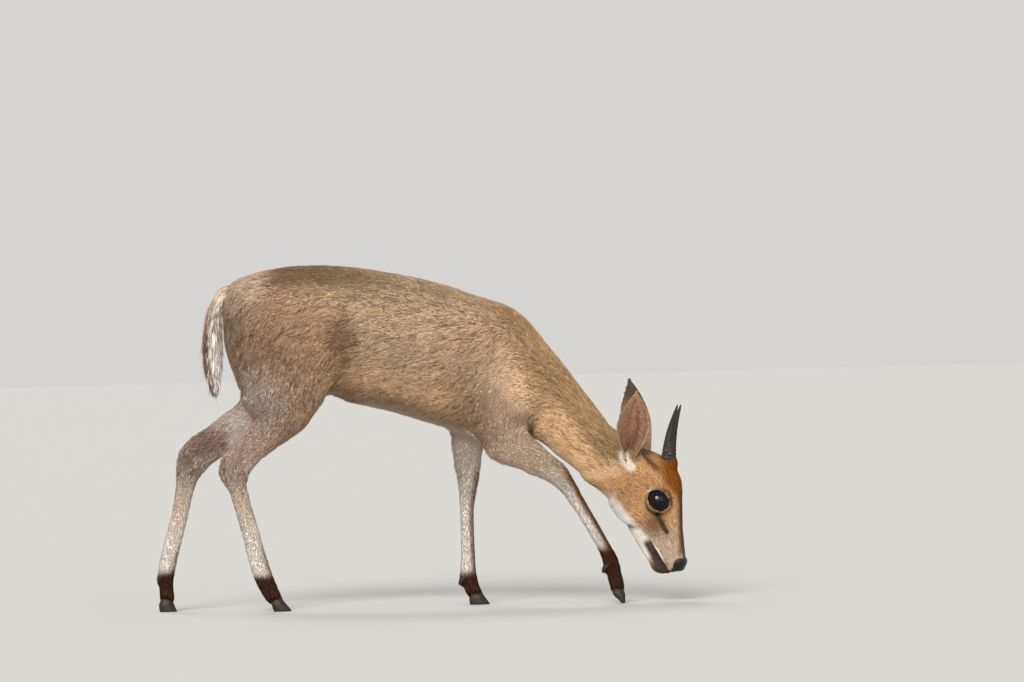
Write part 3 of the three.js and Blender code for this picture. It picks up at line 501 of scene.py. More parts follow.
skin_edges = edges_of(skin)
skin_points = coordinates(skin)
skin_parts = parts_of(skin_points)
steps = spread_out(by_part(skin_parts, RELAX_STEPS), skin_edges, 4)
skin_points = relax(skin_points, skin_edges, steps)
put_points(skin, skin_points)
tell("skin relaxed")

# %% [markdown]
# ## The head
# The head is what people look at, so its skin is finer than the rest. Its faces are split, and its points
# are set on the smooth form that the head is built on: a tube of oval sections down the skull, with the
# cheeks, brows and nostrils as swellings. The lids, lips, nostrils and folds are then drawn into the skin
# as soft ridges and grooves. That is easier to control than modelling them one by one.

# %% Describe the skull
# Sections of the skull: x and z of its front edge, x and z of its rear edge, half width, and the level from
# the rear edge at which it is widest.
SKULL = [
    [306, 246, 248, 188, 30, 0.57],
    [332, 232, 262, 172, 34, 0.58],
    [365, 216, 275, 155, 36, 0.6],
    [389, 198, 288, 140, 36, 0.62],
    [394, 167, 300, 124, 34, 0.62],
    [395.5, 141, 311, 107, 30, 0.58],
    [395.5, 119, 322, 92, 25, 0.54],
    [396, 102, 332, 79, 22, 0.5],
    [396.5, 88, 340, 67, 20, 0.5],
    [398, 75, 346, 57, 18.5, 0.5],
    [398, 64, 354, 50, 16.5, 0.5],
    [395, 51, 357.5, 44.5, 14, 0.5],
]
# Swellings on both sides: the middle, the radii, and how softly they blend in.
SWELLINGS = [
    [(325, 23, 141), (26, 13, 26), 12],
    [(362.8, 19, 151.3), (24, 22, 22), 8],
    [(376, 12, 204), (13.5, 13, 13.5), 8],
    [(326, 33, 210), (19, 13, 21), 10],
    [(360, 0, 54), (11, 12, 9), 8],
    [(388, 9, 60), (11, 8, 11), 6],
]


def skull_pieces():
    """Close rows along the skull's tube: x and z of its middle, its reach to the front and to the rear, and
    half its width."""
    middles = [np.array([bx + (ax - bx) * level, bz + (az - bz) * level])
               for ax, az, bx, bz, half, level in SKULL]
    rows = []
    for i, (ax, az, bx, bz, half, level) in enumerate(SKULL):
        way = middles[min(i + 1, len(SKULL) - 1)] - middles[max(i - 1, 0)]
        way /= np.linalg.norm(way)
        reach = [abs((x - middles[i][0]) * way[1] - (z - middles[i][1]) * way[0])
                 for x, z in ((ax, az), (bx, bz))]
        rows.append([*middles[i], *reach, half])
    return smooth_rows(np.array(rows), np.arange(0, len(rows) - 0.75, 0.25))


SKULL_ROWS = skull_pieces()


def skull_distance(points):
    """Roughly how far points in the head's own frame are outside its smooth form."""
    best = np.full(len(points), 1e9)
    run = np.concatenate([[0], np.cumsum(np.linalg.norm(np.diff(SKULL_ROWS[:, :2], axis=0), axis=1))])
    for i in range(len(SKULL_ROWS) - 1):
        a, b = SKULL_ROWS[i], SKULL_ROWS[i + 1]
        d = b[:2] - a[:2]
        length = np.linalg.norm(d)
        q = points[:, [0, 2]] - a[:2]
        along = q @ d / length ** 2
        t = np.clip(along, 0, 1)
        q = q - t[:, None] * d
        n = q[:, 1] * d[0] / length - q[:, 0] * d[1] / length
        past = q @ d / length
        first, second, side = (a[k] + (b[k] - a[k]) * t for k in (2, 3, 4))
        cap = np.where(along < 0, 4 + run[i], 4 + run[-1] - run[i + 1])
        end = np.minimum(np.minimum(first, second), cap)
        size = np.sqrt(n ** 2 + points[:, 1] ** 2 + past ** 2)
        ratio = np.sqrt((n / np.where(n > 0, first, second)) ** 2 + (points[:, 1] / side) ** 2
                        + (past / end) ** 2)
        best = np.minimum(best, size * (1 - 1 / np.maximum(ratio, 1e-6)))
    for at, radii, soft in SWELLINGS:
        q = to_left(points) - at
        ratio = np.maximum(np.linalg.norm(q / radii, axis=1), 1e-6)
        other = np.linalg.norm(q, axis=1) * (1 - 1 / ratio)
        h = np.maximum(soft - np.abs(best - other), 0) / soft
        best = np.minimum(best, other) - h * h * soft / 4
    return best


def skull_slope(points, step):
    """How far points are outside the form of the head, and how that grows along x, y and z."""
    far = skull_distance(points)
    return far, np.stack([skull_distance(points + d) - far for d in np.eye(3) * step], 1) / step


# %% Split the faces of the head
def split_faces(mesh, chosen):
    """Splits each edge between two chosen points, and the faces with it."""
    bm = bmesh.new()
    bm.from_mesh(mesh)
    bm.verts.ensure_lookup_table()
    edges = [e for e in bm.edges if chosen[e.verts[0].index] and chosen[e.verts[1].index]]
    bmesh.ops.subdivide_edges(bm, edges=edges, cuts=1, use_grid_fill=True)
    bmesh.ops.triangulate(bm, faces=[f for f in bm.faces if len(f.verts) > 4])
    bm.to_mesh(mesh)
    bm.free()


def head_share(points):
    """1 on the face, falling to 0 where the head goes over into the neck. Points in the head's own frame."""
    along = (points - [290, 0, 190]) @ np.array([0.42, 0, -0.907])
    before_jaw = points[:, 0] > 238 + 0.768 * (188 - points[:, 2])
    return smooth_step(-8, 22, along) * before_jaw


split_faces(skin, head_share(to_head(coordinates(skin))) > 0.02)
face = to_head(coordinates(skin))
in_head = head_share(face) > 0.3
eye_far = np.linalg.norm((face - EYE_CENTRE) * [1, 0, 1], axis=1)
muzzle = (face[:, 2] < 98) & (face[:, 0] > 338)
split_faces(skin, in_head & ((eye_far < 30) & (np.abs(face[:, 1]) > 14) | muzzle))
tell(f"head split: {len(skin.vertices)} points")

# %% Set the head's points on its smooth form
skin_edges = edges_of(skin)
skin_points = coordinates(skin)
face = to_head(skin_points)
share = head_share(face)
skin_points = relax(skin_points, skin_edges, np.where(share > 0.02, 6, 0))
face = to_head(skin_points)


def settled(points, passes=4):
    """Points moved on to the form of the head."""
    points = points.copy()
    for step in range(passes):
        far, slope = skull_slope(points, 0.3)
        points -= slope * (far / np.maximum((slope ** 2).sum(1), 0.3))[:, None]
    return points


LARGEST_MOVE = 3.5
near = share > 0.001
move = np.zeros_like(face)
move[near] = settled(face[near]) - face[near]
reach = np.linalg.norm(move, axis=1, keepdims=True)
move *= np.minimum(1, LARGEST_MOVE / np.maximum(reach, 1e-6))
face = face + move * share[:, None]
for step in range(3):
    for k in range(3):
        face[:, k] += (spread_out(face[:, k].copy(), skin_edges, 1) - face[:, k]) * share * 0.5
skin_points = head_to_model(face)
put_points(skin, skin_points)
tell(f"head settled, largest move {reach[near].max():.1f} mm")


# %% Draw the lids, the mouth and the nostrils into the skin
MOUTH = [(350, 18.5, 89), (355, 18.5, 79), (361, 17.5, 68), (368, 14.5, 56), (374, 9, 46), (377, 0, 41)]
TEAR_GROOVE = [(362, 36, 140), (363.5, 33, 132), (367, 30, 122), (371.5, 26.5, 112), (376, 22.5, 102)]
NOSE_CENTRE = (391.5, 7.5, 55.5)
NOSTRIL = [(397, 10.5, 66), (395.5, 12.5, 61), (391.5, 13.2, 57), (387.5, 13, 56)]
GAZE = unit(np.array([0.2, 1, 0.06]))
EYE_ACROSS = np.array([math.cos(EYE_SLANT), 0, math.sin(EYE_SLANT)])
EYE_ACROSS = unit(EYE_ACROSS - EYE_ACROSS @ GAZE * GAZE)
EYE_UP = np.cross(EYE_ACROSS, GAZE)


def opening_place(folded):
    """How far points are from the line of sight, where 1 is the edge of the lids, from the eye's middle,
    and ahead of it."""
    q = folded - EYE_CENTRE
    a, b, c = q @ EYE_ACROSS, q @ EYE_UP, q @ GAZE
    # The front corner runs to a point, towards the groove for the tears.
    taper = 1 - 0.4 * np.clip(a / EYE_LONG, 0, 1) ** 2
    ring = np.sqrt((a / EYE_LONG) ** 2 + (b / (EYE_SHORT * taper)) ** 2)
    return ring, np.linalg.norm(q, axis=1), c


folded = to_left(face)
ring, far, ahead = opening_place(folded)
around_eye = (ahead > 3) & (ring < 2.2) & (share > 0.5)
# Points close to the edge are brought on to it, so that the edge of the lids is a clean line.
snap = around_eye & (np.abs(ring - 1) < 0.07)
q = folded - EYE_CENTRE
q[snap] /= ring[snap, None]
q[snap] *= (far[snap] / np.linalg.norm(q[snap], axis=1))[:, None]
folded = EYE_CENTRE + q
ring, far, ahead = opening_place(folded)
outside = np.maximum(far, EYE_RADIUS + 0.6)
rim = np.exp(-((ring - 1.12) / 0.09) ** 2) - np.exp(-((ring - 1.33) / 0.09) ** 2)
lid = EYE_RADIUS + 1.5 + 0.5 * rim
blended = lid + (np.maximum(outside, EYE_RADIUS + 1.2) - lid) * smooth_step(1.22, 1.75, ring)
socket = EYE_RADIUS - 3.2 + (lid - EYE_RADIUS + 3.2) * smooth_step(0.93, 0.995, ring)
wanted = np.where(ring < 1, socket, blended)
wanted = np.where(around_eye, wanted, far)
folded = EYE_CENTRE + (folded - EYE_CENTRE) * (wanted / np.maximum(far, 1e-6))[:, None]


way = np.zeros_like(folded)
way[near] = unit(skull_slope(folded[near], 0.5)[1])


def ridge(line, width, height, taper=0.12):
    """Moves the skin out along a line by height, or in where height is negative."""
    global folded
    far, along = line_distance(folded, line)
    ends = smooth_step(0, taper, along) * smooth_step(0, taper, 1 - along) if taper else 1.0
    folded = folded + way * (height * np.exp(-((far / width) ** 2)) * ends * share)[:, None]


ridge([(x + 2.4, y, z + 2.0) for x, y, z in MOUTH], 2.2, 0.7, 0)  # the upper lip
ridge([(x - 2.6, y, z - 1.8) for x, y, z in MOUTH], 2.4, 0.8, 0)  # the lower lip
ridge(MOUTH, 1.15, -2.6, 0)
ridge(TEAR_GROOVE, 2.6, -1.7)
ridge([(x - 3.4, y + 1, z - 1) for x, y, z in TEAR_GROOVE], 2.8, 0.7)
ridge(NOSTRIL, 3.4, 0.9, 0)
ridge(NOSTRIL, 1.6, -4.2, 0)
ridge([(399, 0, 70), (399, 0, 60), (394, 0, 48), (388, 0, 44)], 1.1, -1.1, 0)  # the groove down the nose
ridge([(381, 14, 74), (378, 13.5, 64), (374, 12, 55)], 2.6, -0.7)  # the fold round the nose
pad = np.sqrt((((folded - NOSE_CENTRE) / (12.0, 14.0, 11.5)) ** 2).sum(1))
folded = folded + way * (1.5 * smooth_step(1.05, 0.75, pad) * share)[:, None]
face = np.where(face[:, 1:2] < 0, folded * [1, -1, 1], folded)
skin_points = head_to_model(face)
put_points(skin, skin_points)
tell("lids, mouth and nostrils drawn")

# %% [markdown]
# ## The depth of the coat
# The solids reach out to the tips of the hair, so the skin lies deeper by the depth of the coat: most on the
# trunk, less on the face and the shins, and nothing on the bare nose and lids. Each part has its depth, and
# the depths are spread over the skin so that they go over into one another.

# %% Sink the skin by the depth of its coat
COAT_DEPTH = {
    "torso": 3.4, "neck": 3.4, "head": 1.5, "nose_pad": 0.0, "upper": 2.6, "lower": 1.2, "tail": 0.8,
}
SPREAD_STEPS = 26  # how often a value that jumps from part to part is evened out
skin_parts = parts_of(skin_points)
skin_edges = edges_of(skin)
normals_in = -normals_of(skin)


def spot_of(points, at, radii):
    """1 at a place and 0 from an oval round it."""
    return smooth_step(1.0, 0.0, np.sqrt((((points - at) / radii) ** 2).sum(1)))


depth = spread_out(by_part(skin_parts, COAT_DEPTH), skin_edges, SPREAD_STEPS)
# The skin sinks in before the opening at the foot of each ear.
for foot_at in ((326, -49, 224), (322, 45, 226)):
    hollow = spot_of(face, foot_at, (10, 13, 13))
    skin_points = skin_points + normals_in * (0.0075 * hollow * share)[:, None]
nose_bare = np.maximum(skin_parts == PARTS.index("nose_pad"), (pad < 1) & (share > 0.5)).astype(float)
lid_bare = np.where(around_eye, 1 - smooth_step(1.15, 1.5, ring), 0)
muzzle_short = smooth_step(120, 70, face[:, 2]) * share
above_hoof = smooth_step(22, 40, to_stations(skin_points)[:, 2])
# The coat is pressed flat where the raised leg lies along the neck.
depth = depth * (1 - spot_of(to_stations(skin_points), (205, -20, 225), (60, 60, 34)))
depth = depth * (0.3 + 0.7 * above_hoof) * (1 - 0.55 * muzzle_short)
depth = depth * (1 - spread_out(nose_bare, skin_edges, 3)) * (1 - lid_bare)
smooth_normals = unit(spread_out(normals_of(skin), skin_edges, 6))
place = to_stations(skin_points)  # where the tips of the coat lie
skin_points = skin_points - smooth_normals * depth[:, None] / 1000
put_points(skin, skin_points)
normals = normals_of(skin)
tell(f"coat depth {depth.min():.1f} to {depth.max():.1f} mm, {len(skin_points)} points")

# %% [markdown]
# ## The lie of the coat
# Hair grows in one direction at each place: back along the trunk, up the neck towards the shoulders, up the
# face, and down the legs. A short chart gives that direction at a few places seen from the side, and each
# point of the skin takes a mean of the nearest ones, laid flat on the skin. On the legs it follows the bone.

# %% Comb the skin
# Each row: x and z of a place, then the way that the hair lies there.
COMB = np.array([
    [-280, 470, -0.25, -1], [-280, 400, -0.1, -1], [-240, 500, -1, -0.15], [-240, 440, -0.7, -0.75],
    [-240, 370, -0.35, -0.95], [-160, 515, -1, 0], [-160, 430, -0.85, -0.5], [-170, 350, -0.45, -0.9],
    [-60, 510, -1, 0], [-60, 410, -0.95, -0.25], [-60, 320, -0.95, -0.1], [40, 480, -1, 0.15],
    [40, 390, -0.92, -0.35], [20, 300, -0.95, -0.05], [110, 455, -0.95, 0.3], [110, 380, -0.75, -0.6],
    [110, 300, -0.4, -0.9], [150, 270, -0.1, -1], [200, 395, -0.8, 0.55], [170, 330, -0.85, 0.1],
    [250, 310, -0.75, 0.62], [210, 260, -0.75, 0.35], [290, 260, -0.75, 0.6], [260, 200, -0.75, 0.55],
    [320, 240, -0.8, 0.5], [310, 190, -0.85, 0.35], [345, 215, -0.7, 0.65], [380, 210, -0.25, 1],
    [388, 180, -0.2, 1], [392, 150, -0.1, 1], [340, 160, -0.85, 0.4], [320, 130, -0.8, 0.5],
    [350, 120, -0.7, 0.6], [385, 110, -0.25, 1], [360, 90, -0.55, 0.85], [385, 75, -0.35, 0.95],
    [345, 80, -0.6, 0.8],
], float)
# The middle line of each leg, from the hip or the shoulder to the floor.
LEG_LINES = {
    "hind_right": [
        (-198, -36, 428), (-200, -40, 376), (-197, -42, 332), (-196, -44, 302), (-211, -45, 276),
        (-240, -46, 251), (-257, -46, 233), (-272, -46, 216), (-269, -46, 188), (-262, -45.5, 161),
        (-255, -44.5, 133), (-248, -43.5, 106), (-242, -42.5, 83), (-234, -41.5, 54), (-224, -41, 31),
        (-214, -40.5, 12),
    ],
    "hind_left": [
        (-198, 34, 428), (-206, 38, 375), (-216, 41, 319), (-244, 43, 292), (-278, 44, 271),
        (-308, 44, 252), (-327, 44, 240), (-338, 44, 228), (-346, 43.5, 210), (-352, 43, 185),
        (-357, 42.5, 158), (-365, 42, 126), (-375, 41, 93), (-382, 40.5, 62), (-384, 40, 42),
        (-381, 40, 13),
    ],
    "fore_right": [
        (87, -30, 410), (117, -32, 346), (122, -35, 293), (130, -37, 250), (157, -38, 232),
        (184, -38.5, 212), (205, -39, 198), (220, -39, 182), (231, -39, 164), (248, -39, 137),
        (262, -38.5, 111), (276, -38, 85), (285, -37.5, 63), (290, -37, 45), (294, -37, 30),
        (296, -37, 18),
    ],
    "fore_left": [
        (81, 30, 410), (90, 32, 346), (87, 35, 293), (77, 37, 249), (76, 38, 221), (76, 38.5, 200),
        (75, 39, 178), (73, 39, 158), (72, 38.5, 130), (72, 38, 95), (72, 37.5, 69), (71, 37, 45),
        (76, 37, 26), (84, 37, 11),
    ],
}


def chart_way(points):
    far2 = ((points[:, None, [0, 2]] - COMB[None, :, :2]) ** 2).sum(-1)
    weight = (far2 + 150) ** -1.6
    way = (weight[:, :, None] * COMB[None, :, 2:]).sum(1)
    return np.stack([way[:, 0], np.zeros(len(points)), way[:, 1]], 1)


def leg_way(points, line):
    line = np.array(line, float)
    far, along = line_distance(points, line)
    run = np.concatenate([[0], np.cumsum(np.linalg.norm(np.diff(line, axis=0), axis=1))])
    step = 0.03
    ahead, behind = (
        np.stack([np.interp(np.clip(along + s, 0, 1) * run[-1], run, line[:, k]) for k in range(3)], 1)
        for s in (step, -step)
    )
    middle = np.stack([np.interp(along * run[-1], run, line[:, k]) for k in range(3)], 1)
    return unit(ahead - behind), middle


way = unit(chart_way(place))
leg_share = np.zeros(len(place))
frontness = np.zeros(len(place))  # 1 on the front of a leg and -1 on its back
inwardness = np.zeros(len(place))  # 1 on the side of a leg that faces the other leg
hoof_black = np.zeros(len(place))
for leg in LEGS:
    own = np.isin(skin_parts, [PARTS.index(leg + "_leg_upper"), PARTS.index(leg + "_leg_lower")]).astype(float)
    own = spread_out(own, skin_edges, 22)
    here = own > 0.01
    down, middle = leg_way(place[here], LEG_LINES[leg])
    weight = smooth_step(0.1, 0.8, own[here])[:, None]
    way[here] = unit(way[here] * (1 - weight) + down * weight)
    leg_share[here] = np.maximum(leg_share[here], own[here])
    front = unit(np.stack([-down[:, 2], np.zeros(len(down)), down[:, 0]], 1))
    frontness[here] = (smooth_normals[here] * front).sum(1)
    side = 1 if leg.endswith("left") else -1
    inwardness[here] = -side * smooth_normals[here, 1]
on_tail = skin_parts == PARTS.index("tail")
way[on_tail] = [-0.1, 0, -1]
way -= (way * smooth_normals).sum(1)[:, None] * smooth_normals
way = unit(spread_out(unit(way), skin_edges, 3))
tell("coat combed")

# %% [markdown]
# ## Markings
# The animal is grizzled grey-brown with a buff neck, a bright rufous forehead, a white throat and white
# shanks, and dark feet. Skin and coat must carry the same markings, so one painter colours the points of the
# skin, and each tuft takes the colour of its root. A marking is a soft spot or stripe of a named colour. A few
# of them are painted shade: the creases of the thigh and the groin, the slit of the mouth and the groove below
# the eye.

# %% Paint the markings
PAINT = {
    "flank": (0.418, 0.289, 0.188),
    "back": (0.108, 0.068, 0.033),
    "rump": (0.610, 0.441, 0.330),
    "haunch": (0.377, 0.211, 0.125),
    # painted shade for the creases where the thigh folds against the body
    "crease_shade": (0.123, 0.062, 0.024),
    "shoulder": (0.381, 0.237, 0.153),
    "shoulder_low": (0.806, 0.572, 0.392),
    "thigh": (0.644, 0.494, 0.432),
    "neck": (0.208, 0.127, 0.062),
    "neck_low": (0.874, 0.570, 0.306),
    "belly_edge": (0.589, 0.370, 0.218),
    "belly": (0.800, 0.660, 0.540),
    "sheath": (0.500, 0.320, 0.200),
    "cheek": (0.376, 0.198, 0.084),
    "rufous": (0.183, 0.052, 0.001),
    "brown": (0.082, 0.035, 0.009),
    "black": (0.016, 0.010, 0.008),
    "muzzle": (0.307, 0.230, 0.166),
    "white": (0.949, 0.877, 0.806),
    "foot": (0.043, 0.013, 0.005),
    "hock": (0.184, 0.106, 0.075),
    "shank": (0.640, 0.510, 0.410),
    "inner_leg": (0.900, 0.790, 0.710),
    "foreleg": (0.835, 0.646, 0.469),
    "stripe": (0.099, 0.049, 0.024),
    "lip": (0.052, 0.033, 0.025),
    "eye_ring": (0.600, 0.410, 0.240),
}
coat = np.tile(np.array(PAINT["flank"]), (len(place), 1))


def paint(name, mask):
    global coat
    mask = np.clip(mask, 0, 1)[:, None]
    coat = coat * (1 - mask) + np.array(PAINT[name]) * mask


def stripe(points, line, width, soft=0.5):
    return 1 - smooth_step(width * (1 - soft), width * (1 + soft), line_distance(points, line)[0])


def height(low, high):
    return smooth_step(low, high, place[:, 2])


x, y, z = place.T
facing_up = smooth_normals[:, 2]
trunk = 1 - leg_share
along_back = smooth_step(-280, -180, x) * np.interp(x, [-120, 0], [0.92, 0.62])
paint("back", smooth_step(0.1, 0.75, facing_up) * along_back)
paint("haunch", spot(place, (-190, 0, 400), (95, None, 80)) * 0.6)
paint("rump", spot(place, (-262, 0, 490), (45, None, 40)) * 0.7)
# Painted shade: a dark band down the crease at the front of the thigh.
paint("crease_shade", spot(place, (-104, 0, 392), (24, None, 50), 0.7) * 0.75)
paint("shoulder", spot(place, (100, 0, 350), (70, None, 80), 0.6) * 0.8)
paint("shoulder_low", spot(place, (132, 0, 308), (42, None, 62), 0.8) * 0.9)
paint("thigh", spot(place, (-238, 0, 318), (40, None, 46), 0.8) * 0.85)
paint("belly_edge", smooth_step(0.0, -0.55, facing_up) * smooth_step(-230, -120, x) * smooth_step(170, 90, x))
paint("belly", smooth_step(-0.7, -0.97, facing_up) * smooth_step(200, 140, x) * (z > 215))
before = smooth_step(120, 190, x + 0.35 * (z - 350)) * (1 - leg_share)
paint("neck", before)
paint("neck_low", before * smooth_step(0.2, -0.6, facing_up) * 0.9)
# Painted shade: a dark line down the groin, where the thigh folds against the belly.
groin = [(-96, 0, 372), (-112, 0, 338), (-118, 0, 312)]
groin_far = line_distance(place[:, [0, 2]], np.array(groin, float)[:, [0, 2]])[0]
paint("crease_shade", smooth_step(13, 2, groin_far) * smooth_step(0.5, 0.8, np.abs(smooth_normals[:, 1])) * 0.6)
paint("sheath", spot(place, (-96, 0, 306), (24, None, 13)) * (np.abs(y) < 42))
paint("black", spot(place, (-95, 0, 303), (3.0, None, 3.0)) * (np.abs(y) < 30))

# Legs
paint("foreleg", leg_share * (x > 20) * height(150, 200) * 0.7)
paint("inner_leg", smooth_step(0.1, 0.7, inwardness) * leg_share * height(340, 250) * 0.85)
hind, fore = leg_share * (x < -20), leg_share * (x > 20)
outer_side = 1 - smooth_step(0.0, 0.7, inwardness)
paint("hock", hind * height(300, 235) * height(160, 205) * 0.35 * outer_side)
paint("hock", spot(place, (-313, 0, 254), (44, None, 31), 0.6) * hind * (y > 0) * 0.95)
paint("hock", spot(place, (-350, 0, 216), (34, None, 34), 0.6) * hind * (y > 0) * 0.75)
paint("thigh", spot(place, (-252, 0, 205), (48, None, 48), 0.7) * hind * (y < 0) * 0.6)
paint("inner_leg", spot(place, (-250, 0, 264), (26, None, 38), 0.5) * hind * (y > 0) * 0.7)
paint("shank", hind * height(215, 165))
paint("white", hind * height(165, 105) * (0.75 + 0.25 * smooth_step(0.4, -0.4, frontness)))
paint("stripe", hind * height(118, 80) * smooth_step(0.2, 0.8, frontness) * 0.7)
paint("white", fore * height(215, 165) * smooth_step(0.45, -0.1, frontness) * 0.9)
paint("stripe", fore * height(235, 190) * smooth_step(0.05, 0.65, frontness) * np.where(y < 0, 0.95, 0.8))
paint("foot", hind * smooth_step(62, 50, z - 6 * (y > 0)))
paint("foot", fore * np.where(y < 0, smooth_step(96, 78, z), smooth_step(58, 44, z)))

# Head
hx, hy, hz = face.T
on_head = share
paint("cheek", on_head * 0.9)
paint("muzzle", on_head * smooth_step(128, 92, hz))
paint("rufous", spot(face, (394, 0, 192), (36, 40, 42), 0.3) * on_head)
paint("brown", spot(face, (360, 0, 116), (18, None, 19), 0.8) * on_head * 0.72)
paint("brown", stripe(face, [(396, 0, 150), (399, 0, 110), (400, 0, 76)], 14, 0.5) * 0.95)
JAW = [(262, 0, 172), (275, 0, 155), (288, 0, 140), (300, 0, 124), (311, 0, 107), (322, 0, 92), (332, 0, 79)]
jaw_far = line_distance(face[:, [0, 2]], np.array(JAW)[:, [0, 2]])[0]
paint("white", smooth_step(26, 14, jaw_far) * on_head * smooth_step(172, 142, hz))
folded = face * [1, 0, 1] + np.abs(face) * [0, 1, 0]
paint("lip", stripe(folded, [(m[0] - 4.5, m[1], m[2] - 4) for m in MOUTH], 7.5, 0.7) * on_head)
paint("lip", spot(folded, (362, 0, 50), (14, None, 12), 0.7) * on_head * smooth_step(376, 372, hx))
paint("white", stripe(folded, [(m[0] + 2.6, m[1] + 1, m[2] + 2.1) for m in MOUTH[:5]], 1.8, 0.4) * 0.9)
# Painted shade: the slit between the lips is painted black, for the shade in the groove that the skin's mesh is
# too coarse to show.
paint("black", stripe(folded, MOUTH, 3.5, 0.3))
# Painted shade: the groove that runs down from the front corner of the eye is painted black.
paint("black", stripe(folded, TEAR_GROOVE, 3.4, 0.7))
paint("white", stripe(folded, [(316, 42, 222), (320, 43, 210), (327, 43.5, 202)], 7, 0.5) * 0.85)
paint("brown", stripe(folded, [(347, 27, 217), (356, 28, 207), (364, 28.5, 197)], 4.6, 0.8) * 0.9)
at_eye = np.where(around_eye, 1.0, 0.0)
above_eye = (folded - EYE_CENTRE) @ EYE_UP
paint("brown", at_eye * np.exp(-((ring - 1.75) / 0.25) ** 2) * (above_eye > 0) * 0.3)
paint("eye_ring", at_eye * smooth_step(1.6, 1.25, ring) * 0.6)
paint("black", at_eye * smooth_step(1.2, 1.1, ring))
paint("black", spread_out(nose_bare, skin_edges, 2))
paint("shank", on_tail * 1.0)
tell("markings painted")

# %% [markdown]
# ## The skin's finish
# Where the hair is short, most of what the eye sees is its grain, so the skin has fine streaks as bump and
# small changes of tone. The bare nose is a second finish on the same skin, moist and pebbled.

# %% Finish the skin
coat_finish = Finish("short_fur", Roughness=0.85, Specular_IOR_Level=0.14)
grain = coat_finish.noise(900.0, 4.0, 0.65)
patches = coat_finish.spread(coat_finish.noise(60.0, 3.0), 0.3, 0.75, 0.0, 0.18)
toned = coat_finish.grained(coat_finish.marks(), grain, 0.62, (1.3, 1.27, 1.22))
coat_finish.colour(coat_finish.mixed(patches, toned, (0.2, 0.13, 0.08, 1)))
coat_finish.bump(grain, 0.0012, 0.6)

nose_finish = Finish(
    "moist_nose", Roughness=0.3, Specular_IOR_Level=0.2, Coat_Weight=0.06, Coat_Roughness=0.1)
pebbles = nose_finish.node(
    "TexVoronoi", {"feature": "DISTANCE_TO_EDGE"}, Vector=nose_finish.place(), Scale=620.0)
nose_tone = nose_finish.spread(pebbles.outputs["Distance"], 0.0, 0.25, 0.0, 1.0)
nose_finish.colour(nose_finish.mixed(nose_tone, (0.003, 0.002, 0.002, 1), (0.013, 0.009, 0.008, 1)))
nose_finish.roughness(nose_finish.spread(nose_tone, 0, 1, 0.45, 0.26))
nose_finish.bump(nose_tone, 0.0004, 0.5)


def add_colours(mesh, colours):
    """Gives each point of a mesh its colour, which the finishes read as the markings."""
    layer = mesh.color_attributes.new("Coat", "FLOAT_COLOR", "POINT")
    opaque = np.concatenate([colours, np.ones((len(colours), 1))], 1)
    layer.data.foreach_set("color", opaque.astype(np.float32).ravel())


add_colours(skin, coat)
skin.materials.clear()
skin.materials.append(coat_finish.material)
skin.materials.append(nose_finish.material)
bare = spread_out(nose_bare, skin_edges, 2) > 0.5
corner_points = read(skin.loops, "vertex_index", 1, np.int32)[:, 0]
starts = read(skin.polygons, "loop_start", 1, np.int32)[:, 0]
bare_faces = np.minimum.reduceat(bare[corner_points].astype(int), starts) > 0
skin.polygons.foreach_set("material_index", bare_faces.astype(np.int32))
skin.polygons.foreach_set("use_smooth", np.ones(len(skin.polygons), bool))
skin_object = linked("skin", skin)
tell("skin finished")

# %% [markdown]
# ## An unwrap of the skin
# The skin is laid out flat, so that its colours can be baked into an image, and each tuft of hair later
# takes a small patch of that layout at the place where it is rooted.

# %% Unwrap the skin
bpy.context.view_layer.objects.active = skin_object
skin_object.select_set(True)
skin.uv_layers.new(name="OFBake")
bpy.ops.object.mode_set(mode="EDIT")
bpy.ops.mesh.select_all(action="SELECT")
bpy.ops.uv.smart_project(angle_limit=math.radians(66), island_margin=0.002)
bpy.ops.object.mode_set(mode="OBJECT")
skin = skin_object.data
tell("skin unwrapped")

# %% [markdown]
# ## Tufts
# A real coat has hundreds of hairs to the square centimetre. Here a tuft stands for a lock of hairs: a flat,
# tapered, closed sliver with a ridge down its back, rooted in the skin and lying along the coat. Tens of
# thousands of them overlap like tiles, dark at the root and light at the tip, which gives the grizzled look.
# They are built as plain mesh from arrays, because hair systems don't survive an export.

# %% A maker of tufts
skin.calc_loop_triangles()
triangles = np.empty(len(skin.loop_triangles) * 3, np.int32)
skin.loop_triangles.foreach_get("vertices", triangles)
triangles = triangles.reshape(-1, 3)
corner_ids = np.empty(len(skin.loop_triangles) * 3, np.int32)
skin.loop_triangles.foreach_get("loops", corner_ids)
flat = np.empty(len(skin.loops) * 2, np.float32)
skin.uv_layers["OFBake"].data.foreach_get("uv", flat)
flat = flat.reshape(-1, 2)[corner_ids].reshape(-1, 3, 2)
a, b, c = (skin_points[triangles[:, k]] for k in range(3))
triangle_area = np.linalg.norm(np.cross(b - a, c - a), axis=1) / 2
tell(f"skin area {triangle_area.sum():.3f} square metres")


def roots(spacing, wanted, rng):
    """Random places on the skin where wanted holds, spacing apart on average, as triangles and weights."""
    per = triangle_area * wanted[triangles].mean(1) / (np.maximum(spacing[triangles].mean(1), 1e-5)) ** 2
    count = np.floor(per + rng.random(len(per))).astype(int)
    chosen = np.repeat(np.arange(len(per)), count)
    u, v = rng.random((2, len(chosen)))
    over = u + v > 1
    u[over], v[over] = 1 - u[over], 1 - v[over]
    return chosen, np.stack([1 - u - v, u, v], 1)


def at_roots(values, chosen, weights):
    values = np.asarray(values, float)
    picked = values[triangles[chosen]]
    return (picked * weights.reshape(weights.shape + (1,) * (picked.ndim - 2))).sum(1)


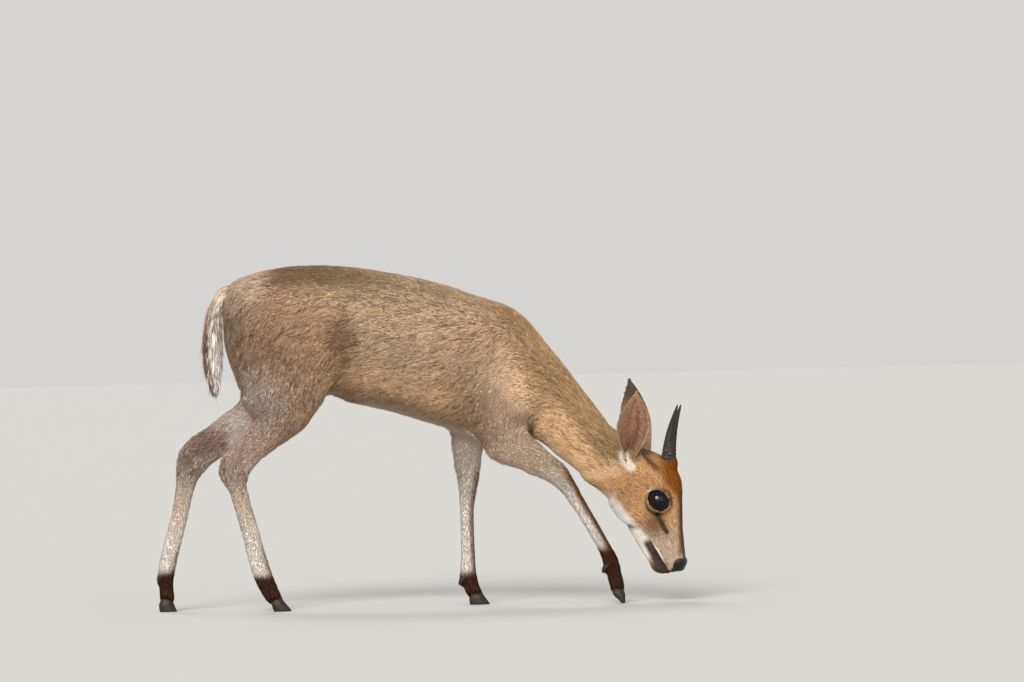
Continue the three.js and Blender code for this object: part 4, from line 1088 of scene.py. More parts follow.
def mesh_of(name, points, faces, sizes, colours, flat_places, material):
    """A mesh from arrays: its points, the points of its faces, how many each face has, colours and layout."""
    mesh = bpy.data.meshes.new(name)
    mesh.vertices.add(len(points))
    mesh.vertices.foreach_set("co", points.astype(np.float32).ravel())
    mesh.loops.add(len(faces))
    mesh.loops.foreach_set("vertex_index", faces.astype(np.int32))
    mesh.polygons.add(len(sizes))
    mesh.polygons.foreach_set("loop_start", np.concatenate([[0], np.cumsum(sizes)[:-1]]).astype(np.int32))
    mesh.polygons.foreach_set("use_smooth", np.ones(len(sizes), bool))
    mesh.update(calc_edges=True)
    layer = mesh.uv_layers.new(name="OFBake")
    layer.data.foreach_set("uv", flat_places[faces].astype(np.float32).ravel())
    add_colours(mesh, colours)
    mesh.materials.append(material)
    return linked(name, mesh)


def tuft_mesh(name, points, faces, colours, flat_place, patch, material):
    """Many tufts of one shape as one mesh. Points and colours are arrays of tufts by points."""
    n, count = points.shape[:2]
    pattern = np.array([v for face in faces for v in face])
    corners = (pattern[None, :] + np.arange(n)[:, None] * count).ravel()
    sizes = np.tile([len(face) for face in faces], n)
    places = np.clip(flat_place[:, None, :] + patch[None], 0, 1)
    return mesh_of(name, points.reshape(-1, 3), corners, sizes, colours.reshape(-1, 3),
                   places.reshape(-1, 2), material)


def sliver_faces(levels):
    """The faces of a closed tuft with three points at each of some levels, and one at its tip."""
    last = levels * 3 - 3
    quads = [[s + i, s + 3 + i, s + 3 + (i + 1) % 3, s + (i + 1) % 3]
             for s in range(0, last, 3) for i in range(3)]
    return quads + [[last + i, last + 3, last + (i + 1) % 3] for i in range(3)] + [[0, 1, 2]]


def sliver_patch(levels):
    """Where the points of such a tuft lie in the layout, from the place of its root."""
    across = np.array([-1, 0, 1] * len(levels) + [0]) * 0.0012
    along = np.array([s for s in levels for _ in range(3)] + [1.0]) * 0.003 - 0.0015
    return np.stack([across, along], -1)


def slivers(name, root, way, out, colour, flat_place, length, width, rise, bend, tips, material):
    """Tufts as closed slivers, three-edged at the root and half way up, that come to a point."""
    side = unit(np.cross(out, way))
    levels = [0.0, 0.5]
    rows, tones = [], []
    for s in levels:
        middle = root + way * (length * s)[:, None] + out * (rise * s ** 0.75 - 0.0007 * (s == 0))[:, None]
        middle += side * (bend * s * s)[:, None]
        half = (width * 0.5 * (1 - 0.55 * s ** 2))[:, None]
        back = (0.34 * width * (1 - 0.6 * s))[:, None]
        rows += [middle - side * half, middle + out * back, middle + side * half]
        tones += [0.50 + 0.62 * s] * 3
    rows.append(root + way * length[:, None] + out * rise[:, None] + side * bend[:, None])
    colours = colour[:, None, :] * np.array(tones + [1.0])[None, :, None]
    colours[:, -1] = tips
    return tuft_mesh(name, np.stack(rows, 1), sliver_faces(len(levels)), colours, flat_place,
                     sliver_patch(levels), material)


def spikes(name, root, way, out, colour, flat_place, length, width, rise, bend, tips, material):
    """Short straight tufts: three points at the root and one at the tip, closed all round."""
    side = unit(np.cross(out, way))
    base = root - out * 0.0006
    half = (width * 0.5)[:, None]
    tip = root + way * length[:, None] + out * rise[:, None] + side * bend[:, None]
    points = np.stack([base - side * half, base + out * half * 0.8, base + side * half, tip], 1)
    colours = np.stack([colour * 0.3, colour * 0.4, colour * 0.3, tips], 1)
    faces = [(0, 2, 3), (0, 3, 1), (3, 2, 1), (2, 0, 1)]
    patch = np.array([[-1.2, -1.5], [0, -1.5], [1.2, -1.5], [0, 1.5]]) * 0.001
    return tuft_mesh(name, points, faces, colours, flat_place, patch, material)


# %% [markdown]
# ## The coat
# How long, wide and close the tufts are changes over the body: long and shaggy on the trunk and the belly,
# short and fine on the face and the shins. The coat is made in a few pieces, so that none grows too heavy.

# %% Grow the coat
LENGTH = {"torso": 11.0, "neck": 10.5, "head": 5.0, "nose_pad": 2.2, "upper": 8.5, "lower": 5.0, "tail": 8.0}
WIDTH = {"torso": 2.1, "neck": 2.0, "head": 1.15, "nose_pad": 0.8, "upper": 1.8, "lower": 1.2, "tail": 1.6}
SPACING = {"torso": 1.32, "neck": 1.28, "head": 0.95, "nose_pad": 0.9, "upper": 1.35, "lower": 1.05, "tail": 1.6}
COAT_SEED = 20

hair_length = spread_out(by_part(skin_parts, LENGTH), skin_edges, SPREAD_STEPS)
hair_width = spread_out(by_part(skin_parts, WIDTH), skin_edges, SPREAD_STEPS)
hair_space = spread_out(by_part(skin_parts, SPACING), skin_edges, SPREAD_STEPS)
fine = 1 - 0.45 * muzzle_short
by_the_eye = np.where(around_eye, smooth_step(2.1, 1.3, ring), 0)
hair_length *= fine * (1 - 0.3 * by_the_eye)
hair_width *= (1 - 0.3 * muzzle_short) * (1 - 0.35 * by_the_eye)
hair_space *= (1 - 0.18 * muzzle_short) * (1 - 0.3 * by_the_eye)
crest = spot(face, (388, 0, 205), (28, 26, 30)) * on_head
hair_length += 3.5 * smooth_step(34, 24, place[:, 2])  # a fringe that hangs over the top of the hooves
fringe = smooth_step(-0.35, -0.8, facing_up) * trunk * smooth_step(-230, -170, x) * smooth_step(180, 120, x)
elbow = fore * smooth_step(-0.2, -0.8, frontness) * height(180, 215) * (z < 290)
hair_length += 5 * fringe + 4 * elbow
way = unit(way - fringe[:, None] * np.array([0, 0, 0.55]))
hair_length += 4.0 * crest
haired = 1 - np.clip(spread_out(nose_bare, skin_edges, 1) * 1.6, 0, 1)
haired *= 1 - at_eye * smooth_step(1.2, 1.12, ring)
haired *= 1 - stripe(folded, MOUTH, 3.1, 0.3)
tuft_finish = Finish("tufts", Roughness=0.8, Specular_IOR_Level=0.16)
strand = tuft_finish.noise(1500.0, 2.0, 0.6)
tuft_finish.colour(tuft_finish.grained(tuft_finish.marks(), strand, 0.75, (1.22, 1.2, 1.18)))
tuft_finish.bump(strand, 0.0004, 0.4)


def waves(points, size, seed):
    """Slow changes over the skin between -1 and 1, size metres across."""
    off = Vector((seed, seed * 1.7, -seed))
    return np.array([noise.noise(Vector(p) / size + off) for p in points]) * 1.6


clumps = waves(skin_points, 0.014, 3.0)
drift = waves(skin_points, 0.045, 8.0)
redness = np.clip(coat[:, 0] / np.maximum(coat[:, 1], 1e-3) - 1.9, 0, 1)
speckled = np.clip(redness + 0.8 * muzzle_short, 0, 1)


def strokes(points, along, width):
    """Light and dark strokes that run along the lie of the coat, a few hairs wide, between -1 and 1."""
    total = np.zeros(len(points))
    for step in np.linspace(-2.4, 2.4, 5):
        total += [noise.noise(Vector(p)) for p in (points + along * (step * width)) * (0.9 / width)]
    return np.clip(total * 0.95, -1, 1)


def grow(name, wanted, rng):
    chosen, weights = roots(hair_space * 0.001, wanted, rng)
    n = len(chosen)
    root = at_roots(skin_points, chosen, weights)
    out = unit(at_roots(normals, chosen, weights))
    lie = at_roots(way, chosen, weights)
    lie = unit(lie - (lie * out).sum(1)[:, None] * out)
    side = np.cross(out, lie)
    clump = at_roots(clumps, chosen, weights)
    smooth_lie = lie
    swing = rng.normal(0, 0.14, n) + 0.22 * clump
    lie = unit(lie + side * swing[:, None])
    length = at_roots(hair_length, chosen, weights) * 0.001 * rng.uniform(0.7, 1.2, n)
    deep = at_roots(depth, chosen, weights) * 0.001
    rise = deep * np.clip(rng.uniform(0.5, 1.0, n) + 0.12 * clump, 0.3, 1.05) + 0.0002
    rise += 0.0022 * at_roots(fringe + elbow, chosen, weights) * rng.uniform(0.3, 1.0, n)
    tint = at_roots(coat, chosen, weights)
    bright = tint.mean(1)
    fleck = strokes(root, smooth_lie, at_roots(hair_width, chosen, weights).mean() * 0.001)
    grizzle = rng.choice([0.45, 0.75, 1.0, 1.25, 1.7], n, p=[0.18, 0.22, 0.22, 0.21, 0.17])
    grizzle *= 1.06 + 0.62 * fleck
    streak = (rng.random(n) < 0.24 * at_roots(speckled, chosen, weights)) * 0.65
    calm = np.maximum(smooth_step(0.25, 0.05, bright), smooth_step(0.42, 0.62, bright)) * 0.65
    grizzle = (1 + (grizzle - 1) * (1 - calm)) * (1 - streak) * (1 + 0.09 * clump)
    colour = tint * (grizzle * (1 + 0.06 * at_roots(drift, chosen, weights)))[:, None]
    pale = (1 - smooth_step(0.2, 0.05, bright)) * (1 - at_roots(redness, chosen, weights))
    tips = colour * 1.5 + np.array([0.05, 0.042, 0.03]) * pale[:, None]
    tips /= np.maximum(1, tips.max(1) / 0.86)[:, None]  # a bright tip keeps its hue
    return spikes(
        name, root, lie, out, colour, (flat[chosen] * weights[:, :, None]).sum(1), length,
        at_roots(hair_width, chosen, weights) * 0.001 * rng.uniform(0.75, 1.2, n), rise,
        length * rng.normal(0, 0.08, n), np.clip(tips, 0, 1), tuft_finish.material,
    )


half_left = (place[:, 1] > 0).astype(float)
label = np.array([PARTS[i] for i in skin_parts])
trunk_part = (label == "torso").astype(float)
rear = place[:, 0] < -60
coat_pieces = []
for name, mask in {
    "coat_rear_right": trunk_part * rear * (1 - half_left),
    "coat_rear_left": trunk_part * rear * half_left,
    "coat_front_right": trunk_part * ~rear * (1 - half_left),
    "coat_front_left": trunk_part * ~rear * half_left,
    "coat_neck": (label == "neck").astype(float),
    "coat_head_right": np.isin(label, ["head", "nose_pad"]) * (face[:, 1] <= 0),
    "coat_head_left": np.isin(label, ["head", "nose_pad"]) * (face[:, 1] > 0),
    "coat_hind_leg_right": np.char.startswith(label, "hind_right").astype(float),
    "coat_hind_leg_left": np.char.startswith(label, "hind_left").astype(float),
    "coat_fore_leg_right": np.char.startswith(label, "fore_right").astype(float),
    "coat_fore_leg_left": np.char.startswith(label, "fore_left").astype(float),
}.items():
    piece = grow(name, mask * haired, np.random.default_rng(COAT_SEED + len(coat_pieces)))
    coat_pieces.append(piece)
    tell(f"{name}: {len(piece.data.vertices) // 4} tufts, {len(piece.data.vertices)} triangles")

# %% [markdown]
# ## The tail
# The tail is a flat brush of long hair, dark above and white below, that hangs from the rump. Its tufts are
# longer than elsewhere and bend twice, so they have more sections. They grow from the skin of the dock, fan
# out to the outline of the brush and end a little raggedly.

# %% Grow the tail's hair
TAIL_TUFTS = 6500
rng = np.random.default_rng(31)
n = TAIL_TUFTS
start = rng.random(n) ** 1.15 * 0.62
turn_at = rng.random(n) * 2 * math.pi
end = np.minimum(start + rng.uniform(0.22, 0.48, n), rng.uniform(0.94, 1.01, n))
edge_out = rng.uniform(0.62, 1.08, n)
stray = rng.random(n) < 0.07
root = to_model(brush_point(start, turn_at, 0.5))
middle = to_model(brush_point(start * 0.55 + end * 0.45, turn_at, 0.5 + 0.42 * edge_out - 0.12)
                  + rng.normal(0, 0.5, (n, 3)))
tip = to_model(brush_point(end, turn_at, edge_out) + rng.normal(0, 1.5, (n, 3)) * (1 + 1.6 * stray)[:, None])
out = unit(to_model(brush_point(start, turn_at, 1.0)) - to_model(brush_point(start, turn_at, 0.2)))
front_side = np.cos(turn_at)
dark_side = smooth_step(-0.2, -0.75, front_side + rng.normal(0, 0.25, n)) * smooth_step(0.02, 0.12, start)
dark_side = np.maximum(dark_side, (rng.random(n) < 0.07) * 0.7)
white = np.array([0.95, 0.90, 0.84])
dark = np.array([0.13, 0.075, 0.05])
fawn = np.array([0.46, 0.33, 0.22])
tail_colour = white + (dark - white) * dark_side[:, None]
rufous_edge = smooth_step(-0.55, -0.95, front_side) * 0.6
tail_colour += (np.array([0.30, 0.15, 0.085]) - tail_colour) * rufous_edge[:, None]
tail_colour += (fawn - tail_colour) * (smooth_step(0.2, 0.0, start) * 0.8)[:, None]
tail_colour *= rng.uniform(0.75, 1.12, n)[:, None]


def bent_tufts(name, lines, out, colour, flat_place, width, tips, material):
    """Long tufts through given points, an array of tufts by sections by coordinates, as closed slivers."""
    levels = lines.shape[1] - 1
    way = unit(lines[:, 1:] - lines[:, :-1])
    rows = []
    for s in range(levels):
        side = unit(np.cross(out, way[:, s]))
        flat_out = np.cross(way[:, s], side)
        half = (width * 0.5 * (1 - 0.5 * (s / (levels + 1)) ** 2))[:, None]
        rows += [lines[:, s] - side * half, lines[:, s] + flat_out * half * 0.7, lines[:, s] + side * half]
    tones = np.array([0.7] * 3 + [1.0] * (3 * levels - 3))
    colours = np.concatenate([colour[:, None, :] * tones[None, :, None], tips[:, None, :]], 1)
    return tuft_mesh(name, np.stack([*rows, lines[:, -1]], 1), sliver_faces(levels), colours, flat_place,
                     sliver_patch([s / levels for s in range(levels)]), material)


def skin_places(points):
    """The place on the skin's layout nearest to each point."""
    tree = KDTree(len(skin_points))
    for i, p in enumerate(skin_points):
        tree.insert(p, i)
    tree.balance()
    uv = np.zeros((len(skin_points), 2))
    uv[triangles.ravel()] = flat.reshape(-1, 2)
    return uv[[tree.find(p)[1] for p in points]]


knee = root + (middle - root) * 0.5 + out * 0.0016
tail_lines = np.stack([root - out * 0.001, knee, middle, middle + (tip - middle) * 0.55, tip], 1)
tail_tips = np.clip(tail_colour * 1.15 + 0.02, 0, 1)
tail_width = rng.uniform(0.0006, 0.0013, n)
tail_hair = bent_tufts(
    "tail_hair", tail_lines, out, tail_colour, skin_places(root), tail_width, tail_tips, tuft_finish.material)
tell(f"tail of {n} tufts")

# %% [markdown]
# ## Ears
# Each ear is a leaf-shaped cup that closes to a tube at its foot. The cup is lofted through rings, thick
# along its back and thin at its rims, with the folds that stiffen a real ear raised inside it.

# %% Loft the ears
EARS = {
    "right": {"side": -1, "root": (322.5, -36, 214), "tip": (342, -74, 317), "open": (0.25, -1, 0.1)},
    "left": {"side": 1, "root": (338, 36, 213), "tip": (314, 47, 333), "open": (-0.7, 1, 0.1)},
}
# The cup's radius, the degrees that it wraps to either side, and how far its back lies behind the middle.
EAR_RINGS = np.array([
    [9, 150, 7], [11, 132, 9], [15, 106, 11], [20, 84, 11], [25, 70, 9.5], [28, 62, 8], [28, 55, 6.5],
    [26, 49, 5], [21, 42, 4], [14, 34, 2.5], [5, 14, 1],
], float)
EAR_ROWS = 44
EAR_COLUMNS = 30


def ring_values(share):
    """The ear's ring at shares of its length, on smooth curves through the rows above."""
    return smooth_rows(EAR_RINGS, np.clip(share, 0, 1) * (len(EAR_RINGS) - 1))


def ear_point(ear, share, across, inset):
    """A point of an ear: how far up, from -1 to 1 across, and how far in from its outer face."""
    foot, tip = np.array(ear["root"], float), np.array(ear["tip"], float)
    along = (tip - foot) / np.linalg.norm(tip - foot)
    opening = np.array(ear["open"], float)
    opening = opening - opening @ along * along
    opening /= np.linalg.norm(opening)
    sideways = np.cross(opening, along)
    radius, wrap, back = ring_values(share).T
    turn = np.radians(wrap) * across
    return (foot + (tip - foot) * share[:, None] + sideways * ((radius - inset) * np.sin(turn))[:, None]
            + opening * (radius - back - (radius - inset) * np.cos(turn))[:, None])


def ear_folds(share, across):
    """How far the inside of the ear stands out: two long ridges and a hollow between them."""
    fade = smooth_step(0.05, 0.2, share) * smooth_step(0.85, 0.5, share)
    ridges = 1.5 * np.exp(-((across - 0.28 - 0.2 * share) / 0.09) ** 2)
    ridges += 1.2 * np.exp(-((across + 0.30 + 0.1 * share) / 0.08) ** 2)
    ridges -= 0.5 * np.exp(-((across - 0.05) / 0.12) ** 2)
    return ridges * fade


def build_ear(name, ear):
    shares = np.linspace(0, 1, EAR_ROWS)
    columns = np.linspace(-1, 1, EAR_COLUMNS)
    s, v = (grid.ravel() for grid in np.meshgrid(shares, columns, indexing="ij"))
    outer = ear_point(ear, s, v, np.full(len(s), 0.35))
    thick = 0.5 + 1.5 * (1 - v ** 2) ** 0.7
    inner = ear_point(ear, s, v * (1 - 0.012), thick + 0.35 + np.maximum(ear_folds(s, v), -0.4))
    grid = (EAR_ROWS, EAR_COLUMNS, 3)
    loops = np.concatenate([outer.reshape(grid), inner.reshape(grid)[:, ::-1]], 1)
    across = loops.shape[1]
    points = head_to_model(loops.reshape(-1, 3))
    mesh = bpy.data.meshes.new(name)
    mesh.from_pydata(points.tolist(), [], ring_faces(EAR_ROWS, across))
    bm = bmesh.new()
    bm.from_mesh(mesh)
    bmesh.ops.triangulate(bm, faces=[f for f in bm.faces if len(f.verts) > 4])
    bmesh.ops.recalc_face_normals(bm, faces=bm.faces)
    bm.to_mesh(mesh)
    bm.free()
    share_of = np.repeat(shares, across)
    v_of = np.tile(np.concatenate([columns, columns[::-1]]), EAR_ROWS)
    inside = np.tile(np.concatenate([np.zeros(EAR_COLUMNS), np.ones(EAR_COLUMNS)]), EAR_ROWS)
    add_colours(mesh, ear_colour(share_of, v_of, inside))
    mesh.polygons.foreach_set("use_smooth", np.ones(len(mesh.polygons), bool))
    mesh.materials.append(ear_finish.material)
    return linked(name, mesh)


EAR_PINK = np.array([0.225, 0.088, 0.046])
EAR_SHADE = np.array([0.085, 0.034, 0.018])
EAR_BROWN = np.array([0.105, 0.042, 0.022])
EAR_BUFF = np.array([0.40, 0.26, 0.145])
EAR_DARK = np.array([0.060, 0.040, 0.026])
EAR_PALE = np.array([0.39, 0.235, 0.14])


def ear_colour(share, across, inside):
    """Pink and shaded inside, with pale rims; buff at the back, darker to the tip."""
    def over(colour, other, mask):
        mask = np.clip(mask, 0, 1)[:, None]
        return colour * (1 - mask) + other * mask

    n = len(share)
    back = over(np.tile(EAR_BUFF, (n, 1)), EAR_DARK, smooth_step(0.35, 0.85, share))
    cup = np.tile(EAR_PINK, (n, 1))
    crease_shade = np.exp(-((across + 0.36 - 0.1 * share) / 0.11) ** 2)
    cup = over(cup, EAR_SHADE, crease_shade * smooth_step(0.95, 0.7, share) * 0.8)
    cup = over(cup, EAR_SHADE, smooth_step(0.45, 0.12, share) * (1 - np.abs(across) ** 2) * 1.1)
    cup = over(cup, EAR_PALE, smooth_step(0.72, 0.95, np.abs(across)) * 0.9)
    cup = over(cup, EAR_PALE, smooth_step(0.78, 0.95, share) * 0.4)
    return over(back, cup, inside)


ear_finish = Finish("ear", Roughness=0.6, Specular_IOR_Level=0.3)
ear_finish.shader.inputs["Subsurface Weight"].default_value = 0.12
ear_finish.shader.inputs["Subsurface Radius"].default_value = (0.004, 0.0015, 0.0008)
veins = ear_finish.spread(ear_finish.noise(260.0, 4.0, 0.6), 0.35, 0.65, 0.0, 0.6)
ear_finish.colour(ear_finish.mixed(veins, ear_finish.marks(), (0.24, 0.10, 0.055, 1)))
ear_finish.bump(ear_finish.noise(900.0, 3.0), 0.0003, 0.4)
ears = {side: build_ear("ear_" + side + "_cup", ear) for side, ear in EARS.items()}
tell("ears lofted")

# %% Grow the ears' hair
EAR_BACK_TUFTS = 5200
EAR_INNER_TUFTS = 7000


def ear_tufts(name, ear, count, inside, rng):
    share = rng.random(count) ** 0.9 * 0.97
    across = rng.uniform(-1, 1, count)
    if inside:
        # Long pale hairs grow along both rims and from the foot of the ear, and lean over the hollow.
        long = rng.random(count) < 0.13
        across = np.where(long, np.sign(across) * (0.62 + 0.36 * rng.random(count)), across * 0.9)
        share = 0.1 + 0.8 * rng.random(count)
    inset = np.full(count, 0.3)
    if inside:
        inset = 0.75 + 1.5 * (1 - across ** 2) ** 0.7 + np.maximum(ear_folds(share, across), -0.4)
    at = head_to_model(ear_point(ear, share, across, inset))
    up_the_ear = unit(head_to_model(ear_point(ear, np.minimum(share + 0.03, 1), across, inset)) - at)
    into = unit(head_to_model(ear_point(ear, share, across * 0.9, inset)) - at)
    face_out = unit(head_to_model(ear_point(ear, share, across, inset - 1)) - at)
    if inside:
        lie = unit(up_the_ear * 0.55 + into * rng.uniform(0.5, 1.2, count)[:, None] - face_out * 0.35)
        out = -face_out
        lie = np.where(long[:, None], lie, unit(up_the_ear + into * rng.normal(0.15, 0.25, count)[:, None]))
        length = np.where(
            long, rng.uniform(0.008, 0.015, count) * (1 - 0.4 * share), rng.uniform(0.003, 0.006, count))
        width = np.where(long, rng.uniform(0.0004, 0.0008, count), rng.uniform(0.0004, 0.0007, count))
        rise = np.where(long, rng.uniform(0.0008, 0.0026, count), rng.uniform(0.0003, 0.0007, count))
        # Pale, pink and brown hairs stand mixed, with more brown hairs as painted shade along the fold and down
        # at the foot.
        inner = ear_colour(share, across, np.ones(count)) * 1.1
        fold_shade = np.exp(-((across + 0.36 - 0.1 * share) / 0.16) ** 2) + smooth_step(0.4, 0.15, share)
        pick = rng.random(count) + 0.25 * np.clip(fold_shade, 0, 1)
        streak = np.where((pick > 0.8)[:, None], EAR_BROWN, np.where((pick < 0.42)[:, None], EAR_PALE, inner))
        colour = np.where(long[:, None], EAR_PALE, streak) * rng.uniform(0.75, 1.2, count)[:, None]
    else:
        lie, out = unit(up_the_ear + into * rng.normal(0, 0.15, count)[:, None]), face_out
        length = rng.uniform(0.004, 0.0065, count)
        width, rise = rng.uniform(0.0009, 0.0015, count), rng.uniform(0.0004, 0.0009, count)
        colour = ear_colour(share, across, np.zeros(count)) * rng.uniform(0.7, 1.3, count)[:, None]
    bend = length * rng.normal(0, 0.12, count)
    tips = np.clip(colour * 1.25 + 0.02, 0, 1)
    return slivers(
        name, at, lie, out, colour, skin_places(at), length, width, rise, bend, tips, tuft_finish.material)


ear_hair = []
for number, (side, ear) in enumerate(EARS.items()):
    rng = np.random.default_rng(50 + number)
    ear_hair.append(ear_tufts(f"ear_{side}_back_fur", ear, EAR_BACK_TUFTS, False, rng))
    ear_hair.append(ear_tufts(f"ear_{side}_inner_hair", ear, EAR_INNER_TUFTS, True, rng))
tell("ears furred")

# %% [markdown]
# ## Horns
# A ram's horns are short straight spikes with a rough, ringed base and a smooth tip. Their shape follows a
# rule, a circle that shrinks along a curve, so Geometry Nodes make them: a curve, a radius along it with the
# rings as small waves, and a swept circle.

# %% Build the horns with Geometry Nodes
HORN_BASE = (377.0, 13.0, 208.0)
HORN_TIP = (395.5, 20.0, 294.0)
HORN_BASE_RADIUS = 10.4
HORN_TIP_RADIUS = 0.9
HORN_STEPS = 90
HORN_RINGS = {"Ring height": 0.00024, "Rings": 8.0, "Ringed share": 0.5}


def sweep_tree(name, sides, material):
    """A tree that sweeps a circle along a curve, with rings of a named height and number near its base."""
    tree = bpy.data.node_groups.new(name, "GeometryNodeTree")
    face_of = tree.interface
    face_of.new_socket("Curve", in_out="INPUT", socket_type="NodeSocketGeometry")
    ids = {}
    for label_of, value in (("Ring height", 0.0006), ("Rings", 9.0), ("Ringed share", 0.52)):
        socket = face_of.new_socket(label_of, in_out="INPUT", socket_type="NodeSocketFloat")
        socket.default_value = value
        ids[label_of] = socket.identifier
    face_of.new_socket("Mesh", in_out="OUTPUT", socket_type="NodeSocketGeometry")
    add, link = tree.nodes.new, tree.links.new
    start, finish_node = add("NodeGroupInput"), add("NodeGroupOutput")

    def maths(way_of, one, two=None):
        made = add("ShaderNodeMath")
        made.operation = way_of
        for i, value in enumerate((one, two)):
            if isinstance(value, bpy.types.NodeSocket):
                link(value, made.inputs[i])
            elif value is not None:
                made.inputs[i].default_value = value
        return made.outputs[0]

    share_of = add("GeometryNodeSplineParameter").outputs["Factor"]
    turns = maths("MULTIPLY", share_of, start.outputs["Rings"])
    wave = maths("SINE", maths("MULTIPLY", turns, 2 * math.pi * 1.9))
    past = maths("DIVIDE", share_of, start.outputs["Ringed share"])
    fade = maths("POWER", maths("MAXIMUM", maths("SUBTRACT", 1.0, past), 0.0), 0.5)
    ring_step = maths("MULTIPLY", maths("MULTIPLY", wave, fade), start.outputs["Ring height"])
    radius = maths("ADD", add("GeometryNodeInputRadius").outputs[0], ring_step)
    wider = add("GeometryNodeSetCurveRadius")
    link(start.outputs["Curve"], wider.inputs["Curve"])
    link(radius, wider.inputs["Radius"])
    circle = add("GeometryNodeCurvePrimitiveCircle")
    circle.inputs["Resolution"].default_value = sides
    circle.inputs["Radius"].default_value = 1.0
    sweep = add("GeometryNodeCurveToMesh")
    sweep.inputs["Fill Caps"].default_value = True
    link(wider.outputs[0], sweep.inputs["Curve"])
    link(circle.outputs["Curve"], sweep.inputs["Profile Curve"])
    if "Scale" in sweep.inputs:
        link(radius, sweep.inputs["Scale"])
    real = add("GeometryNodeRealizeInstances")
    link(sweep.outputs[0], real.inputs[0])
    painted = add("GeometryNodeSetMaterial")
    painted.inputs["Material"].default_value = material
    link(real.outputs[0], painted.inputs["Geometry"])
    link(painted.outputs[0], finish_node.inputs[0])
    return tree, ids


horn_finish = Finish("horn", Roughness=0.55, Specular_IOR_Level=0.22)
horn_place = horn_finish.node("SeparateXYZ", Vector=horn_finish.place())
horn_up = horn_finish.spread(horn_place.outputs["Z"], 0.205, 0.275, 0.0, 1.0)
rough_grain = horn_finish.noise(620.0, 4.0, 0.75)
specks = horn_finish.spread(rough_grain, 0.5, 0.66, 0.0, 1.0)
speck_share = horn_finish.node("Math", {"operation": "MULTIPLY"}, i0=specks, i1=horn_finish.spread(
    horn_up, 0.3, 0.95, 0.75, 0.12)).outputs[0]
horn_finish.colour(horn_finish.mixed(speck_share, (0.008, 0.006, 0.005, 1), (0.21, 0.16, 0.13, 1)))
horn_finish.roughness(horn_finish.spread(horn_up, 0.2, 1.0, 0.75, 0.32))
horn_finish.bump(rough_grain, 0.0013, 0.8)
horn_tree, horn_inputs = sweep_tree("ringed_spike", 28, horn_finish.material)


def plain_mesh(obj, name):
    """The result of an object's modifiers as a mesh of its own, with closed seams and faces outwards."""
    graph = bpy.context.evaluated_depsgraph_get()
    mesh = bpy.data.meshes.new_from_object(obj.evaluated_get(graph))
    bpy.data.objects.remove(obj)
    bm = bmesh.new()
    bm.from_mesh(mesh)
    bmesh.ops.remove_doubles(bm, verts=bm.verts, dist=1e-6)
    bmesh.ops.recalc_face_normals(bm, faces=bm.faces)
    for f in bm.faces:
        f.smooth = True
    bm.to_mesh(mesh)
    bm.free()
    out = linked(name, mesh)
    return out


def build_horn(name, side):
    line = bpy.data.curves.new(name, "CURVE")
    line.dimensions = "3D"
    spline = line.splines.new("POLY")
    spline.points.add(HORN_STEPS)
    base, tip_at = np.array(HORN_BASE), np.array(HORN_TIP)
    for i in range(HORN_STEPS + 1):
        share_of = i / HORN_STEPS
        p = base + (tip_at - base) * share_of - np.array([3.5 * math.sin(math.pi * share_of), 0, 0])
        p[1] *= side
        spline.points[i].co = (*head_to_model(p), 1)
        round_off = math.sqrt(max(0.0, 1 - max(0, (share_of - 0.985) / 0.015) ** 2))
        radius = HORN_TIP_RADIUS + (HORN_BASE_RADIUS - 0.3 - HORN_TIP_RADIUS) * (1 - share_of) ** 0.85
        spline.points[i].radius = max(radius * round_off, 0.15) / 1000
    obj = linked(name, line)
    modifier = obj.modifiers.new("sweep", "NODES")
    modifier.node_group = horn_tree
    for input_name, value in HORN_RINGS.items():
        modifier[horn_inputs[input_name]] = value
    return plain_mesh(obj, name)


horns = {side: build_horn(f"horn_{side}_spike", sign) for side, sign in (("right", -1), ("left", 1))}
horn_size = [round(v * 1000, 1) for v in horns["right"].dimensions]
tell(f"horns {horn_size} mm, {len(horns['right'].data.vertices)} points")

# %% [markdown]
# ## Eyes
# The eyes are large and so dark that they read as black. Each is a smooth ball with a bulging, wet front,
# deep brown inside. It is kept whole behind the lids, so that it looks right from every side.

# %% Build the eyes
eye_finish = Finish("eye", Roughness=0.04, Specular_IOR_Level=0.2)
iris = eye_finish.noise(700.0, 3.0, 0.6)
eye_finish.colour(eye_finish.mixed(iris, (0.0012, 0.001, 0.001, 1), (0.006, 0.004, 0.003, 1)))


def build_eye(name, side):
    centre = EYE_CENTRE * [1, side, 1]
    gaze = GAZE * [1, side, 1]
    bm = bmesh.new()
    bmesh.ops.create_uvsphere(bm, u_segments=56, v_segments=36, radius=1.0)
    turn_to = Vector((0, 0, 1)).rotation_difference(Vector(gaze)).to_matrix()
    for v in bm.verts:
        ahead = max(v.co.z, 0.0)
        deep = v.co * (EYE_RADIUS - 0.25 + 0.35 * ahead ** 6)
        deep.z = max(deep.z, EYE_RADIUS * 0.1)
        v.co = Vector(head_to_model(np.array(turn_to @ deep) + centre))
        v.normal_update()
    bmesh.ops.remove_doubles(bm, verts=bm.verts, dist=1e-7)
    bmesh.ops.recalc_face_normals(bm, faces=bm.faces)
    mesh = bpy.data.meshes.new(name)
    for f in bm.faces:
        f.smooth = True
    bm.to_mesh(mesh)
    bm.free()
    mesh.materials.append(eye_finish.material)
    return linked(name, mesh)


eyes = {side: build_eye(f"eye_{side}_ball", sign) for side, sign in (("right", -1), ("left", 1))}
tell("eyes built")

# %% [markdown]
# ## Whiskers and lashes
# Stiff single hairs stand on the muzzle and along the upper lids. They could be modelled one by one; a
# Geometry Nodes tree is quicker: it takes points that know which way their hair grows, puts a tapered hair
# on each, and changes the length of each a little by a fixed seed.

